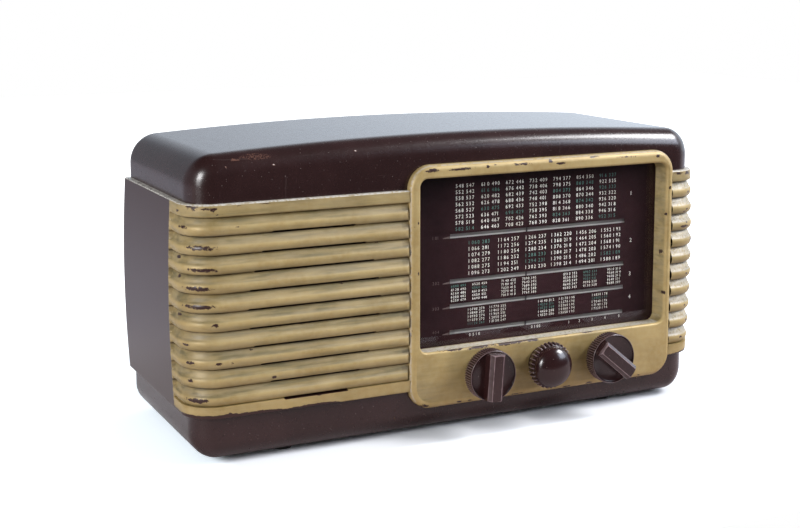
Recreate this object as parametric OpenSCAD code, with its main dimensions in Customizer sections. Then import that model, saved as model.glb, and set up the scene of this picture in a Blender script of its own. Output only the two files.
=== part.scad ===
/* [Cabinet] */
// Width of the cap and of the base
cab_w = 480; // [460:2:520]
// Depth from the front face to the rear rim
cab_d = 175; // [172:1:195]
// Height of the moulding at the ends of its top
cab_h = 247; // [244:1:262]
// Rise of the top from its ends to its middle
crown = 7; // [4:1:10]
// Wall thickness of the moulding
wall = 4; // [3.5:0.25:4.5]
// Radius of the top corners, seen from the front
top_r = 29; // [22:1:34]
// Radius of the bottom corners, seen from the front
bottom_r = 22; // [16:1:26]
// Radius of the upright front corners, seen from above
corner_r = 22; // [16:1:28]
// Radius of the top and bottom front edges
edge_r = 17; // [12:1:20]

/* [Ribbed band] */
// Height of the band's lower edge
band_bottom = 37.5; // [34:0.5:40]
// Height of the band's upper edge
band_top = 209; // [200:1:214]
// How far the band stands out at its edges
band_out = 5; // [4:0.5:6]
// How much further it stands out at mid-height
band_bow = 3; // [1:0.5:4]
// Height of the plain lip above and below the ribs
lip_h = 9.8; // [8:0.2:12]
// Number of ribs
rib_count = 10; // [8:1:12]
// Depth of the coves between the ribs
rib_depth = 4.5; // [3:0.25:5]
// Height of a rib's crest, as a share of the pitch
rib_crest = 0.24; // [0.16:0.02:0.4]
// How far the ribs run round onto the sides
rib_wrap = 38; // [30:1:50]
// Height of a sound slot
slot_h = 2.6; // [2:0.2:3.4]
// Length of the longest sound slot
slot_len = 116; // [96:2:124]
// How fast the slots grow shorter, per row squared
slot_taper = 0.022; // [0.01:0.002:0.026]

/* [Dial frame] */
// Middle of the frame, to the right of the cabinet's middle
frame_x = 76.5; // [74:0.5:80]
// Width of the frame
frame_w = 267; // [264:1:272]
// Height of the frame's lower edge
frame_z = 23.5; // [22:0.5:25]
// Height of the frame
frame_h = 207; // [204:1:209]
// Radius of the frame's corners
frame_r = 20; // [16:1:24]
// Radius of the frame's front edge
frame_edge = 5; // [3:0.5:6]
// How far the frame stands out
frame_out = 8; // [7:0.5:9]
// Width of the frame beside the opening
rail_side = 9.5; // [9:0.5:11]
// Width of the frame above the opening
rail_top = 12.5; // [12:0.5:14]
// Height of the frame's panel below the opening
rail_bottom = 46.5; // [46:0.5:48]
// Radius of the opening's corners
opening_r = 7; // [4:1:9]
// Depth of the opening behind the cabinet's face
opening_in = 7; // [6.5:0.5:8]
// Wall of the frame
frame_wall = 3; // [2.5:0.25:3.5]

/* [Dial] */
// Thickness of the printed glass
glass_t = 3; // [2.5:0.25:3.5]
// How far the glass reaches past the opening
glass_lap = 8.5; // [8:0.5:10]
// Gap between the glass and the plate behind it
plate_gap = 6; // [5.5:0.5:7]
// Thickness of the plate behind the glass
plate_t = 1.5; // [1.25:0.25:2]
// Diameter of the rail that the pointer slides on
rail_d = 3; // [2.4:0.2:3.6]
// Width of the pointer's needle
needle_w = 1.2; // [0.8:0.2:2]
// Place of the pointer, to the left of the frame's middle
pointer_left = 9; // [4:1:14]
// Radius of the cord pulleys, in the groove
pulley_r = 7; // [6:0.5:7.5]
// Diameter of the dial cord
cord_d = 0.9; // [0.7:0.1:1]
// Radius of the tuning drum, in its grooves
drum_r = 58; // [54:1:59]
// Width of the tuning drum
drum_w = 10; // [9:0.5:11]
// Radius of the capstan on the tuning spindle
capstan_r = 4; // [3.7:0.1:4.4]
// Diameter of a scale lamp's bulb
lamp_d = 11; // [10:0.5:12]

/* [Controls] */
// Distance from one knob to the next
knob_pitch = 61; // [58:0.5:64]
// Height of the knobs' shafts
shaft_z = 49.5; // [48:0.5:51]
// Diameter of a knob
knob_d = 42; // [38:1:44]
// Length of a knob's body
knob_len = 20; // [18:1:21]
// Height of a knob's grip bar
grip_h = 8; // [6:0.5:9]
// Width of a grip bar at its front
grip_w = 9; // [7:0.5:11]
// Width of a grip bar at its foot
grip_foot = 15; // [12:0.5:17]
// Diameter of the knobs' shafts
shaft_d = 6; // [5.6:0.1:6.4]
// Running clearance round a shaft
run_gap = 0.05; // [0.03:0.01:0.09]
// Thickness of the felt washer behind a knob
felt_t = 1.7; // [1.2:0.1:1.8]
// Turn of the volume knob's bar from upright
volume_tilt = 4; // [0:1:20]
// Turn of the band knob's bar from upright
band_tilt = -50; // [-60:1:-40]

/* [Chassis] */
// Left end of the chassis
chassis_x0 = -48; // [-50:1:-46]
// Right end of the chassis
chassis_x1 = 220; // [218:1:221]
// Front of the chassis behind the cabinet's face
chassis_y = 40; // [39:0.5:42]
// Depth of the chassis
chassis_d = 118; // [117:0.5:120]
// Height of the chassis deck
deck_z = 80; // [78:1:82]
// Height of the chassis' open bottom
chassis_z = 14; // [12:1:16]
// Sheet thickness of the chassis
sheet = 1.5; // [1.2:0.1:1.8]
// Diameter of a small valve's glass
valve_d = 30; // [27:1:32]
// Diameter of a large valve's glass
power_d = 38; // [34:1:39]
// Height of a valve's glass
valve_h = 72; // [60:1:80]
// Height of the tuning capacitor's shaft above the deck
gang_rise = 35; // [34:1:37]
// Radius of the tuning capacitor's moving vanes
vane_r = 24; // [21:0.5:24.5]
// Pitch of the tuning capacitor's vanes
vane_pitch = 3.2; // [2.8:0.1:3.4]

/* [Loudspeaker] */
// Middle of the loudspeaker, to the left of the cabinet's middle
speaker_left = 139; // [136:0.5:141]
// Height of the loudspeaker's middle
speaker_z = 115; // [112:1:118]
// Outer radius of the loudspeaker's rim
speaker_r = 82; // [78:1:84]
// Radius of the hole in the baffle board
baffle_hole = 70; // [68:0.5:71]
// Thickness of the baffle board
baffle_t = 6; // [5:0.5:8]
// Thickness of the grille cloth
cloth_t = 0.8; // [0.6:0.1:1]
// Depth of the cone
cone_d = 27; // [24:0.5:29]
// Thickness of the paper cone
cone_t = 0.8; // [0.6:0.1:1]
// Inner radius of the voice coil
coil_r = 12.6; // [12.4:0.1:13]
// Radius of the magnet
magnet_r = 38; // [34:1:40]
// Depth of the magnet
magnet_d = 36; // [32:1:40]

/* [Back] */
// Thickness of the rear cover
back_t = 3; // [2.5:0.25:4]
// How deep the cover lies inside the rear rim
back_in = 4; // [3.5:0.25:5]
// Width of an air slot
vent_w = 4; // [3:0.5:5]
// Height of an air slot
vent_h = 26; // [20:1:28]
// Radius of a plug socket's bore
socket_r = 2; // [1.9:0.05:2.1]
// Radius of the cord entry's bore
entry_r = 3.5; // [3:0.25:3.75]
// Height of the rubber feet
foot_h = 3.5; // [3:0.25:5]
// Radius of the rubber feet
foot_r = 9; // [7:0.5:10]

/* [Hidden] */

bakelite = [0.20, 0.07, 0.06];
gold = [0.66, 0.56, 0.33];
steel = [0.62, 0.62, 0.60];
brass = [0.74, 0.60, 0.30];

fine = 48;
small = 24;
round_fn = 96;
huge_fn = 1440;
fit = 0.3;
knob_r = knob_d / 2;
ring_len = 9;
dome_r = knob_r - 2.4;
knob_back = -frame_out - felt_t - fit;
knob_face = knob_back - knob_len;
knob_reach = max(knob_len + grip_h, ring_len + 1 + dome_r) - knob_back;
front_y = (knob_reach - cab_d) / 2;
half_w = cab_w / 2;
crown_half = half_w - top_r;
crown_r = (crown_half * crown_half + crown * crown) / (2 * crown);
top_z = cab_h + crown;
band_mid = (band_bottom + band_top) / 2;
band_half = (band_top - band_bottom) / 2;
rib_pitch = (band_top - band_bottom - 2 * lip_h) / rib_count;
slot_mid = (rib_count + 0.3) / 2;
bead_edge = 0.3 * rib_depth;

frame_left = frame_x - frame_w / 2;
frame_right = frame_x + frame_w / 2;
frame_top = frame_z + frame_h;
open_left = frame_left + rail_side + 2;
open_right = frame_right - rail_side + 1.3;
open_bottom = frame_z + rail_bottom;
open_top = frame_top - rail_top;
open_mid = (open_left + open_right) / 2;
open_mid_z = (open_bottom + open_top) / 2;
glass_y = opening_in;
plate_y = glass_y + glass_t + plate_gap;
glass_left = open_left - glass_lap;
glass_right = open_right + glass_lap;
glass_bottom = open_bottom - 4;
glass_top = open_top + 4;
plate_back = plate_y + plate_t;

speaker_x = -speaker_left;
baffle_y = wall + 3;
surround_y = baffle_y + baffle_t;
basket_y = surround_y + cone_t;

mid_knob_x = frame_x - 3;
volume_x = mid_knob_x - knob_pitch;
band_x = mid_knob_x + knob_pitch;
shaft_r = shaft_d / 2;
shafts_x = [volume_x, mid_knob_x, band_x];
shaft_end = knob_face + 4;

deck_low = deck_z - sheet;
rear_apron = chassis_y + chassis_d;
gang_x = mid_knob_x + 21.5;
gang_z = deck_z + gang_rise;
gang_y = chassis_y + 6;
gang_d = 60;
gang_half = 26;
gang_shaft_r = 4;
drum_y = chassis_y - 3 - drum_w;
pointer_cord_y = drum_y + drum_w * 0.25;
drive_cord_y = drum_y + drum_w * 0.75;
pulley_z = open_top + 4;
left_pulley_x = open_left + 9.5;
right_pulley_x = open_right - 9.5;
pointer_x = frame_x - pointer_left;
rail_y = glass_y + glass_t + 3.4;
rail_z = glass_top + 7;
needle_t = 0.8;
needle_y = rail_y - rail_d / 2 - 1;
bar_y = needle_y + needle_t + 0.5;
bar_h = 7;

pot_r = 15;
switch_r = 17;
wafers = [24, 46];
wafer_t = 1.6;
bush_r = 4.7;
nut_r = 7;
nut_t = 2.5;
frame_nut_y = chassis_y - nut_t;

back_y = cab_d - back_in - back_t;
post_x = half_w - wall - 5;
post_low = 30;
post_high = band_top - 4;
socket_z = 46;
sockets_x = [100, 119, 150, 169];
selector_x = 40;
entry_x = -20;
entry_z = 32;
boss_dx = 78;
boss_dz = 84;
board_edge = 5;
post_r = 6;
bolt_r = 2;
screw_r = 1.75;
frame_screw_places = [for (x = [frame_left + 12, frame_right - 12])
    for (z = [frame_z + 10, open_bottom - 9]) [x, z]];
board_screw_places = [for (x = [-1, 1]) for (z = [-1, 1])
    [speaker_x + x * boss_dx, speaker_z + z * boss_dz]];
rim_screw_places = [for (a = [45:90:315])
    [speaker_x + (speaker_r - 4.5) * cos(a), speaker_z + (speaker_r - 4.5) * sin(a)]];
post_places = [for (x = [-1, 1]) for (z = [post_low, post_high]) [x * post_x, z]];
lamp_x = [open_left + 12, open_right - 12];
lamp_z = open_bottom + 22;
lamp_r = lamp_d / 2;
lamp_stem_r = 4.2;
cord_steps = 30;
vane_t = 0.8;
moving = 7;
sections = [gang_y + 6, gang_y + 33];
mains_size = [gang_x - 91, chassis_y + 42, 70, 42, 62];
output_size = [gang_x + 105, rear_apron - 16, 32, 16, 30];
socket_bore = 4;
socket_body = 14.4;
base_r = 16;
base_z = deck_z + 2;
base_h = 24;
glass_foot = base_z + base_h;
can_h = 78;
former_h = 44;
former_r = 7;
former_gap = [26, 28];
cord_gap = fit / 2;
bar_places = [for (rise = [10.8, 33.4, 55.2, 94.6]) open_bottom + rise];
coil_top = basket_y + cone_d - 1;
neck_r = coil_r + 0.6;
yoke_y = basket_y + cone_d + 11;
socket_places = [[gang_x + 52, chassis_y + 26], [gang_x + 101, chassis_y + 72],
    [gang_x + 17, chassis_y + 96], [gang_x - 27, chassis_y + 96], [gang_x - 73, chassis_y + 96]];
can_places = [[gang_x + 95, chassis_y + 26], [gang_x + 57, chassis_y + 80]];
bolt_places = [for (x = [chassis_x0 + 10, chassis_x1 - 10])
    for (y = [chassis_y + 10, rear_apron - 10]) [x, y]];
foot_places = [for (x = [-158, 158]) for (y = [26, cab_d - 26]) [x * cab_w / 480, y]];

// How far the band stands out at a height
function bow(z) = band_out + band_bow * (1 - pow((z - band_mid) / band_half, 2));
// How deep a rib's face lies behind its crest, from its lower edge at 0 to the next rib at 1
function rib_in(v) = v < rib_crest
    ? -bead_edge * pow((rib_crest - v) / rib_crest, 2)
    : -rib_depth * (1 - cos(180 * (v - rib_crest) / (1 - rib_crest))) / 2;
// The height of a rib's lower edge, counted from the top
function rib_z(k) = band_top - lip_h - k * rib_pitch;
// Half the length of a sound slot, counted from the top
function slot_half(k) = slot_len / 2 * (1 - slot_taper * pow(k - slot_mid, 2));

// Carries a piece from the cabinet's own frame to the part's frame
module place() translate([0, front_y, foot_h]) children();
// Extrudes an outline drawn in width and height towards the rear
module along_y(y, len) translate([0, y + len, 0]) rotate([90, 0, 0]) linear_extrude(len) children();
// Extrudes an outline drawn in depth and height to the right
module along_x(x, len) translate([x, 0, 0]) rotate([90, 0, 90]) linear_extrude(len) children();
// Turns a profile, drawn as radius and depth, round an axis that runs to the rear
module round_y(x, z) translate([x, 0, z]) rotate([-90, 0, 0]) rotate_extrude($fn = round_fn) children();
module rod_y(x, z, y, len, r, fn = fine)
    translate([x, y, z]) rotate([-90, 0, 0]) cylinder(h = len, r = r, $fn = fn);
module rod_x(x, y, z, len, r)
    translate([x, y, z]) rotate([0, 90, 0]) cylinder(h = len, r = r, $fn = fine);
module rounded(w, h, r) {
    square([w - 2 * r, h], center = true);
    square([w, h - 2 * r], center = true);
    for (x = [-1, 1]) for (z = [-1, 1])
        translate([x * (w / 2 - r), z * (h / 2 - r)]) circle(r = r, $fn = fine);
}
module rounded_slot(w, h) {
    r = min(w, h) / 2;
    square([w > h ? w - h : w, w > h ? h : h - w], center = true);
    for (s = [-1, 1]) translate(w > h ? [s * (w / 2 - r), 0] : [0, s * (h / 2 - r)])
        circle(r = r, $fn = small);
}

// The cap and base seen from the front, drawn in by a distance
module outline(inset) {
    intersection() {
        union() {
            translate([-half_w + top_r, inset]) square([cab_w - 2 * top_r, top_z - inset + 5]);
            translate([-half_w + bottom_r, inset]) square([cab_w - 2 * bottom_r, cab_h - top_r - inset]);
            translate([-half_w + inset, bottom_r]) square([cab_w - 2 * inset, cab_h - top_r - bottom_r]);
            for (s = [-1, 1]) {
                translate([s * (half_w - top_r), cab_h - top_r]) circle(r = top_r - inset, $fn = round_fn);
                translate([s * (half_w - bottom_r), bottom_r]) circle(r = bottom_r - inset, $fn = round_fn);
            }
        }
        translate([0, top_z - crown_r]) circle(r = crown_r - inset, $fn = huge_fn * 2);
    }
}
// The cap and base as a solid with rounded front edges, drawn in by a distance
module body_form(inset, depth) {
    intersection() {
        along_y(inset, depth - inset) outline(inset);
        translate([0, 0, -1]) linear_extrude(top_z + 2) {
            translate([-half_w + inset, corner_r]) square([cab_w - 2 * inset, depth]);
            translate([-half_w + corner_r, inset]) square([cab_w - 2 * corner_r, depth]);
            for (s = [-1, 1])
                translate([s * (half_w - corner_r), corner_r]) circle(r = corner_r - inset, $fn = round_fn);
        }
        along_x(-half_w, cab_w) {
            translate([edge_r, inset]) square([depth, top_z]);
            translate([inset, edge_r]) square([depth, top_z]);
            translate([edge_r, edge_r]) circle(r = edge_r - inset, $fn = round_fn);
        }
        translate([0, 0, top_z - crown_r]) rotate([-90, 0, 0]) rotate([0, 0, -97])
            rotate_extrude(angle = 14, $fn = huge_fn) {
                translate([crown_r - top_z - 40, inset]) square([top_z + 40 - edge_r, depth]);
                translate([crown_r - top_z - 40, edge_r]) square([top_z + 40 - inset, depth]);
                translate([crown_r - edge_r, edge_r]) circle(r = edge_r - inset, $fn = round_fn);
            }
    }
}
// The band's section with its ribs, from a depth behind the face
module ribbed_section(back) {
    polygon(concat(
        [[-back, band_bottom], [bow(band_bottom), band_bottom]],
        [for (k = [rib_count:-1:1]) for (v = [0, 0.11, 0.24, 0.36, 0.5, 0.64, 0.8, 1])
            [bow(rib_z(k) + v * rib_pitch) + rib_in(v), rib_z(k) + v * rib_pitch]],
        [[bow(rib_z(0)), rib_z(0)], [bow(band_top), band_top], [-back, band_top]]));
}
// The band's plain section, from a depth behind the face
module plain_section(back) {
    polygon(concat(
        [[-back, band_bottom]],
        [for (i = [0:16]) let (z = band_bottom + i / 16 * (band_top - band_bottom)) [bow(z), z]],
        [[-back, band_top]]));
}
// The band from the dial frame round the left corner to the rear rim
module band_side(front_len) {
    translate([-half_w + corner_r, 0, 0]) along_x(0, front_len) mirror([1, 0]) ribbed_section(wall);
    translate([-half_w + corner_r, corner_r, 0]) rotate([0, 0, 180])
        rotate_extrude(angle = 90, $fn = round_fn) translate([corner_r, 0]) ribbed_section(wall);
    translate([-half_w, 0, 0]) along_y(corner_r, rib_wrap - corner_r) mirror([1, 0]) ribbed_section(wall);
    translate([-half_w, 0, 0]) along_y(rib_wrap, cab_d - rib_wrap) mirror([1, 0]) plain_section(wall);
}

module cabinet() {
    color(bakelite) place() difference() {
        union() {
            difference() {
                union() {
                    body_form(0, cab_d);
                    band_side(frame_left - fit + half_w - corner_r);
                    mirror([1, 0, 0]) band_side(half_w - corner_r - frame_right - fit);
                }
                body_form(wall, cab_d + 10);
            }
            for (p = post_places) rod_y(p[0], p[1], back_y - 18, 18, post_r);
            for (p = board_screw_places) rod_y(p[0], p[1], wall - 0.5, baffle_y - wall + 0.5, 5);
            for (p = bolt_places)
                translate([p[0], p[1], wall - 0.5]) cylinder(h = chassis_z - wall + 0.5, r = 8, $fn = fine);
        }
        for (p = post_places) rod_y(p[0], p[1], back_y - 14, 15, 1.6, small);
        for (p = board_screw_places) rod_y(p[0], p[1], 2.5, 6, screw_r, small);
        for (p = bolt_places) translate([p[0], p[1], -1]) {
            cylinder(h = chassis_z + 2, r = bolt_r + 0.1, $fn = small);
            cylinder(h = 3.5, r = 5, $fn = small);
        }
        for (k = [1:rib_count]) translate([speaker_x, 0, rib_z(k) + slot_h * 0.1])
            along_y(-band_out - band_bow - 2, wall + band_out + band_bow + 4)
                rounded_slot(2 * slot_half(k), slot_h);
        translate([open_mid, 0, open_mid_z]) along_y(-1, wall + 2)
            rounded(open_right - open_left + 2 * frame_wall + 2 * fit,
                open_top - open_bottom + 2 * frame_wall + 2 * fit, opening_r + frame_wall);
        for (x = shafts_x) rod_y(x, shaft_z, -1, wall + 2, shaft_r + 2);
        for (p = frame_screw_places) rod_y(p[0], p[1], -1, wall + 2, screw_r, small);
    }
}
module dial_frame() {
    color(gold) place() difference() {
        union() {
            difference() {
                frame_block(0, -frame_out, 0);
                frame_block(frame_wall, -frame_out + frame_wall, 1);
            }
            translate([open_mid, 0, open_mid_z])
                along_y(-frame_out + frame_wall / 2, frame_out - frame_wall / 2 + opening_in)
                    rounded(open_right - open_left + 2 * frame_wall,
                        open_top - open_bottom + 2 * frame_wall, opening_r + frame_wall);
            for (x = shafts_x)
                rod_y(x, shaft_z, -frame_out + 1, frame_out - 1, shaft_r + 4);
            for (p = frame_screw_places) rod_y(p[0], p[1], -frame_out + 1, frame_out - 1, 4);
        }
        translate([open_mid, 0, open_mid_z]) along_y(-frame_out - 1, frame_out + opening_in + 2)
            rounded(open_right - open_left, open_top - open_bottom, opening_r);
        for (x = shafts_x) rod_y(x, shaft_z, -frame_out - 1, frame_out + 2, shaft_r + 1);
        for (p = frame_screw_places) rod_y(p[0], p[1], -frame_out + 3, frame_out, 1.5, small);
    }
}
// The frame's outer block with a rounded front edge, drawn in by a distance
module frame_block(inset, y0, y1) {
    w = frame_w - 2 * inset;
    h = frame_h - 2 * inset;
    r = frame_r - inset;
    e = max(frame_edge - inset, 1);
    hull() for (x = [-1, 1]) for (z = [-1, 1])
        translate([frame_x + x * (w / 2 - r), y1, frame_z + frame_h / 2 + z * (h / 2 - r)])
            rotate([90, 0, 0]) {
                cylinder(h = y1 - y0 - e, r = r, $fn = 32);
                for (a = [0:15:90])
                    cylinder(h = y1 - y0 - e + e * sin(a), r = r - e + e * cos(a), $fn = 32);
            }
}
module screw_y(x, z, y, len, head_r, head_h, r) {
    rod_y(x, z, y, len, r, small);
    rod_y(x, z, y + len, head_h, head_r, small);
}
module frame_screws() {
    color(steel) place() for (p = frame_screw_places)
        screw_y(p[0], p[1], -frame_out + 3.5, frame_out - 3.5 + wall, 3.3, 2, 1.5);
}
module grille_cloth() {
    color([0.35, 0.27, 0.17]) place() translate([speaker_x, 0, speaker_z])
        along_y(baffle_y - cloth_t, cloth_t) square([2 * boss_dx - 12, 2 * boss_dz + 4], center = true);
}
module speaker_baffle() {
    color([0.55, 0.42, 0.28]) place() difference() {
        translate([speaker_x, 0, speaker_z]) along_y(baffle_y, baffle_t)
            square([2 * (boss_dx + board_edge), 2 * (boss_dz + board_edge)], center = true);
        rod_y(speaker_x, speaker_z, baffle_y - 1, baffle_t + 2, baffle_hole, 96);
        for (p = board_screw_places) rod_y(p[0], p[1], baffle_y - 1, baffle_t + 2, screw_r + 0.15, small);
        for (p = rim_screw_places) rod_y(p[0], p[1], baffle_y + 1.5, baffle_t, 1.5, small);
    }
}
module board_screws() {
    color(steel) place() {
        for (p = board_screw_places) screw_y(p[0], p[1], 3, baffle_y + baffle_t - 3, 3.8, 2.2, screw_r);
        for (p = rim_screw_places)
            screw_y(p[0], p[1], baffle_y + 2, baffle_t - 2 + cone_t + 1.2, 3.4, 2, 1.5);
    }
}
module rear_cover() {
    vents = [for (i = [-10:10]) i * 21];
    color([0.36, 0.24, 0.15]) place() difference() {
        along_y(back_y, back_t) outline(wall + 0.4);
        for (p = post_places) rod_y(p[0], p[1], back_y - 1, back_t + 2, 1.9, small);
        for (x = vents) for (z = [band_top - 40, band_top - 5])
            translate([x, 0, z]) along_y(back_y - 1, back_t + 2) rounded_slot(vent_w, vent_h);
        for (x = vents) if (x < chassis_x0 - 10) for (z = [62, 98, 134])
            translate([x, 0, z]) along_y(back_y - 1, back_t + 2) rounded_slot(vent_w, vent_h);
        translate([(sockets_x[0] + sockets_x[3]) / 2, 0, socket_z]) along_y(back_y - 1, back_t + 2)
            rounded(sockets_x[3] - sockets_x[0] + 22, 18, 6);
        rod_y(selector_x, socket_z, back_y - 1, back_t + 2, 19.5, 64);
        rod_y(entry_x, entry_z, back_y - 1, back_t + 2, entry_r + 2.5);
    }
}
module rear_cover_screws() {
    color(steel) place() for (p = post_places)
        screw_y(p[0], p[1], back_y - 12, 12 + back_t, 3.8, 1.8, 1.6);
}
module feet() {
    color([0.10, 0.10, 0.10]) translate([0, front_y, 0]) for (p = foot_places)
        translate([p[0], p[1], 0]) cylinder(h = foot_h, r1 = foot_r - 1, r2 = foot_r, $fn = fine);
}
module chassis_bolts() {
    color(steel) place() for (p = bolt_places) {
        translate([p[0], p[1], 0.4]) {
            cylinder(h = 2.1, r = 2 * bolt_r, $fn = small);
            cylinder(h = chassis_z + sheet + 4, r = bolt_r, $fn = small);
        }
        translate([p[0], p[1], chassis_z + sheet]) difference() {
            cylinder(h = 3, r = 2 * bolt_r, $fn = 6);
            translate([0, 0, -1]) cylinder(h = 5, r = bolt_r + run_gap, $fn = small);
        }
    }
}
module dial_glass() {
    color([0.10, 0.05, 0.05]) place() along_y(glass_y, glass_t)
        translate([glass_left, glass_bottom]) square([glass_right - glass_left, glass_top - glass_bottom]);
}
module glass_clips() {
    color(steel) place() for (s = [-1, 1]) for (z = [glass_bottom + 24, glass_top - 30])
        translate([(glass_left + glass_right) / 2, 0, z]) mirror([s > 0 ? 1 : 0, 0, 0]) linear_extrude(14) {
            e = (glass_right - glass_left) / 2;
            translate([-e - 1, glass_y - 0.8]) square([1, plate_back - glass_y + 1.6]);
            translate([-e, glass_y - 0.8]) square([4, 0.8]);
            translate([-e, plate_back]) square([4, 0.8]);
            translate([-e, glass_y + glass_t]) square([2.5, plate_gap]);
        }
}
// A pulley's stud with its spacer and its head
module pulley_stud(x) {
    rod_y(x, pulley_z, plate_back, pointer_cord_y - 2.2 - plate_back, 3);
    rod_y(x, pulley_z, plate_back, pointer_cord_y + 2.2 - plate_back, 1.6 - run_gap, small);
    rod_y(x, pulley_z, pointer_cord_y + 2.2, 1, 2.6, small);
}
module dial_plate() {
    ear = 24;
    color([0.86, 0.84, 0.78]) place() {
        difference() {
            along_y(plate_y, plate_t) {
                translate([glass_left, glass_bottom - 6])
                    square([glass_right - glass_left, open_top - 4 - glass_bottom + 6]);
                for (x = [glass_left, glass_right - ear])
                    translate([x, open_top - 10]) square([ear, rail_z + 4 - open_top + 10]);
            }
            for (x = lamp_x) rod_y(x, lamp_z, plate_y - 1, plate_t + 2, lamp_r + 1);
        }
        for (z = bar_places) translate([open_left + 33, bar_y, z - bar_h / 2])
            cube([open_right - open_left - 63, plate_y + plate_t / 2 - bar_y, bar_h]);
        for (x = [glass_left + 3, glass_right - 3 - sheet]) difference() {
            translate([x, rail_y - 3, rail_z - 5]) cube([sheet, plate_y - rail_y + 3, 9]);
            rod_x(x - 1, rail_y, rail_z, sheet + 2, rail_d / 2);
        }
        pulley_stud(left_pulley_x);
        pulley_stud(right_pulley_x);
        for (s = [0, 1]) translate([s ? glass_right - 3.8 : glass_left + 8, 0, 0]) {
            translate([0, plate_back, deck_z - 18]) cube([sheet, chassis_y - plate_back, 16]);
            translate([s ? -10 : 0, chassis_y - sheet, deck_z - 18]) cube([10 + sheet, sheet, 16]);
        }
    }
}
module dial_lamps() {
    color([0.95, 0.9, 0.7]) place() for (x = lamp_x) {
        round_y(x, lamp_z) difference() {
            translate([0, plate_y + 1]) circle(r = lamp_r, $fn = fine);
            translate([-lamp_d, 0]) square([lamp_d, 100]);
        }
        rod_y(x, lamp_z, plate_y + 4, 12, lamp_stem_r);
    }
}
module lamp_holders() {
    color(brass) place() for (x = lamp_x) round_y(x, lamp_z) {
        translate([lamp_stem_r + run_gap, plate_back + 5]) square([1, 11]);
        translate([lamp_r + 1, plate_back]) square([4, 1]);
        translate([lamp_r + 1, plate_back]) square([1, 6]);
        translate([lamp_stem_r + run_gap, plate_back + 5]) square([lamp_r + 2 - lamp_stem_r - run_gap, 1]);
    }
}
module pointer() {
    color([0.08, 0.07, 0.07]) place() translate([pointer_x, 0, 0]) {
        translate([-needle_w / 2, needle_y, open_bottom + 3])
            cube([needle_w, needle_t, rail_z - 6.5 - open_bottom]);
        difference() {
            translate([-7, needle_y, rail_z - 4]) cube([14, rail_d + 2, 8]);
            rod_x(-8, rail_y, rail_z, 16, rail_d / 2 + 2 * run_gap);
        }
        translate([-3, rail_y + rail_d / 2, rail_z + 2.5])
            cube([6, pointer_cord_y - 1 - rail_y - rail_d / 2, 1.5]);
        translate([-3, pointer_cord_y - 1.8, rail_z - 4]) cube([6, 1, 8]);
    }
}
module pointer_rail() {
    color(steel) place() rod_x(glass_left + 3, rail_y, rail_z, glass_right - glass_left - 6, rail_d / 2);
}
// The way that a closed cord leaves one circle for the next, each [x, z, radius]
function cord_turn(a, b) = let (d = [b[0] - a[0], b[1] - a[1]])
    atan2(d[1], d[0]) - 90 + asin((a[2] - b[2]) / norm(d));
// The corners of a closed cord that runs round circles, taken in turn, and outside them by a distance
function cord_line(rings, out) = let (n = len(rings)) [for (i = [0:n - 1])
    let (a = rings[i], from = cord_turn(rings[(i + n - 1) % n], a), to = cord_turn(a, rings[(i + 1) % n]),
        step = ((to - from + 720) % 360) / cord_steps, r = (a[2] + out) / cos(step / 2))
            for (k = [0.5:cord_steps]) [a[0] + r * cos(from + k * step), a[1] + r * sin(from + k * step)]];
module cord_loop(y, rings) {
    along_y(y - cord_d / 2, cord_d) difference() {
        polygon(cord_line(rings, cord_gap + cord_d));
        polygon(cord_line(rings, cord_gap));
    }
}
module dial_cords() {
    color([0.75, 0.7, 0.55]) place() {
        cord_loop(pointer_cord_y, [[gang_x, gang_z, drum_r], [right_pulley_x, pulley_z, pulley_r],
            [left_pulley_x, pulley_z, pulley_r]]);
        cord_loop(drive_cord_y, [[mid_knob_x, shaft_z, capstan_r], [gang_x, gang_z, drum_r]]);
    }
}
module cord_pulley(x) {
    round_y(x, pulley_z) difference() {
        translate([1.6, pointer_cord_y - 2]) square([pulley_r - 0.1, 4]);
        translate([pulley_r + 1.5, pointer_cord_y]) circle(r = 1.5, $fn = 32);
    }
}
module left_pulley() color(brass) place() cord_pulley(left_pulley_x);
module right_pulley() color(brass) place() cord_pulley(right_pulley_x);
module tuning_drum() {
    color([0.80, 0.78, 0.72]) place() difference() {
        round_y(gang_x, gang_z) difference() {
            union() {
                translate([gang_shaft_r, drum_y]) square([5, drum_w]);
                translate([gang_shaft_r, drum_y + drum_w / 2 - 1]) square([drum_r - gang_shaft_r, 2]);
                translate([drum_r - 3, drum_y]) square([4.5, drum_w]);
            }
            for (y = [pointer_cord_y, drive_cord_y])
                translate([drum_r + 1.5, y]) circle(r = 1.5, $fn = 32);
        }
        for (a = [0:60:300])
            rod_y(gang_x + 32 * cos(a), gang_z + 32 * sin(a), drum_y - 1, drum_w + 2, 12);
    }
}
module tuning_spindle() {
    color(steel) place() {
        rod_y(mid_knob_x, shaft_z, shaft_end, chassis_y + 10 - shaft_end, shaft_r);
        round_y(mid_knob_x, shaft_z) difference() {
            translate([shaft_r - 0.5, drive_cord_y - 2]) square([capstan_r + 2 - shaft_r, 4]);
            translate([capstan_r + 1.5, drive_cord_y]) circle(r = 1.5, $fn = 32);
        }
    }
}
// A threaded bush through the front of the chassis, with its collar behind
module bush(x, len) {
    round_y(x, shaft_z) {
        translate([shaft_r + run_gap, chassis_y - nut_t]) square([bush_r - shaft_r - run_gap, len]);
        translate([shaft_r + run_gap, chassis_y + sheet]) square([4, 2]);
    }
}
module spindle_bush() color(brass) place() bush(mid_knob_x, nut_t + sheet + 6);
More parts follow.
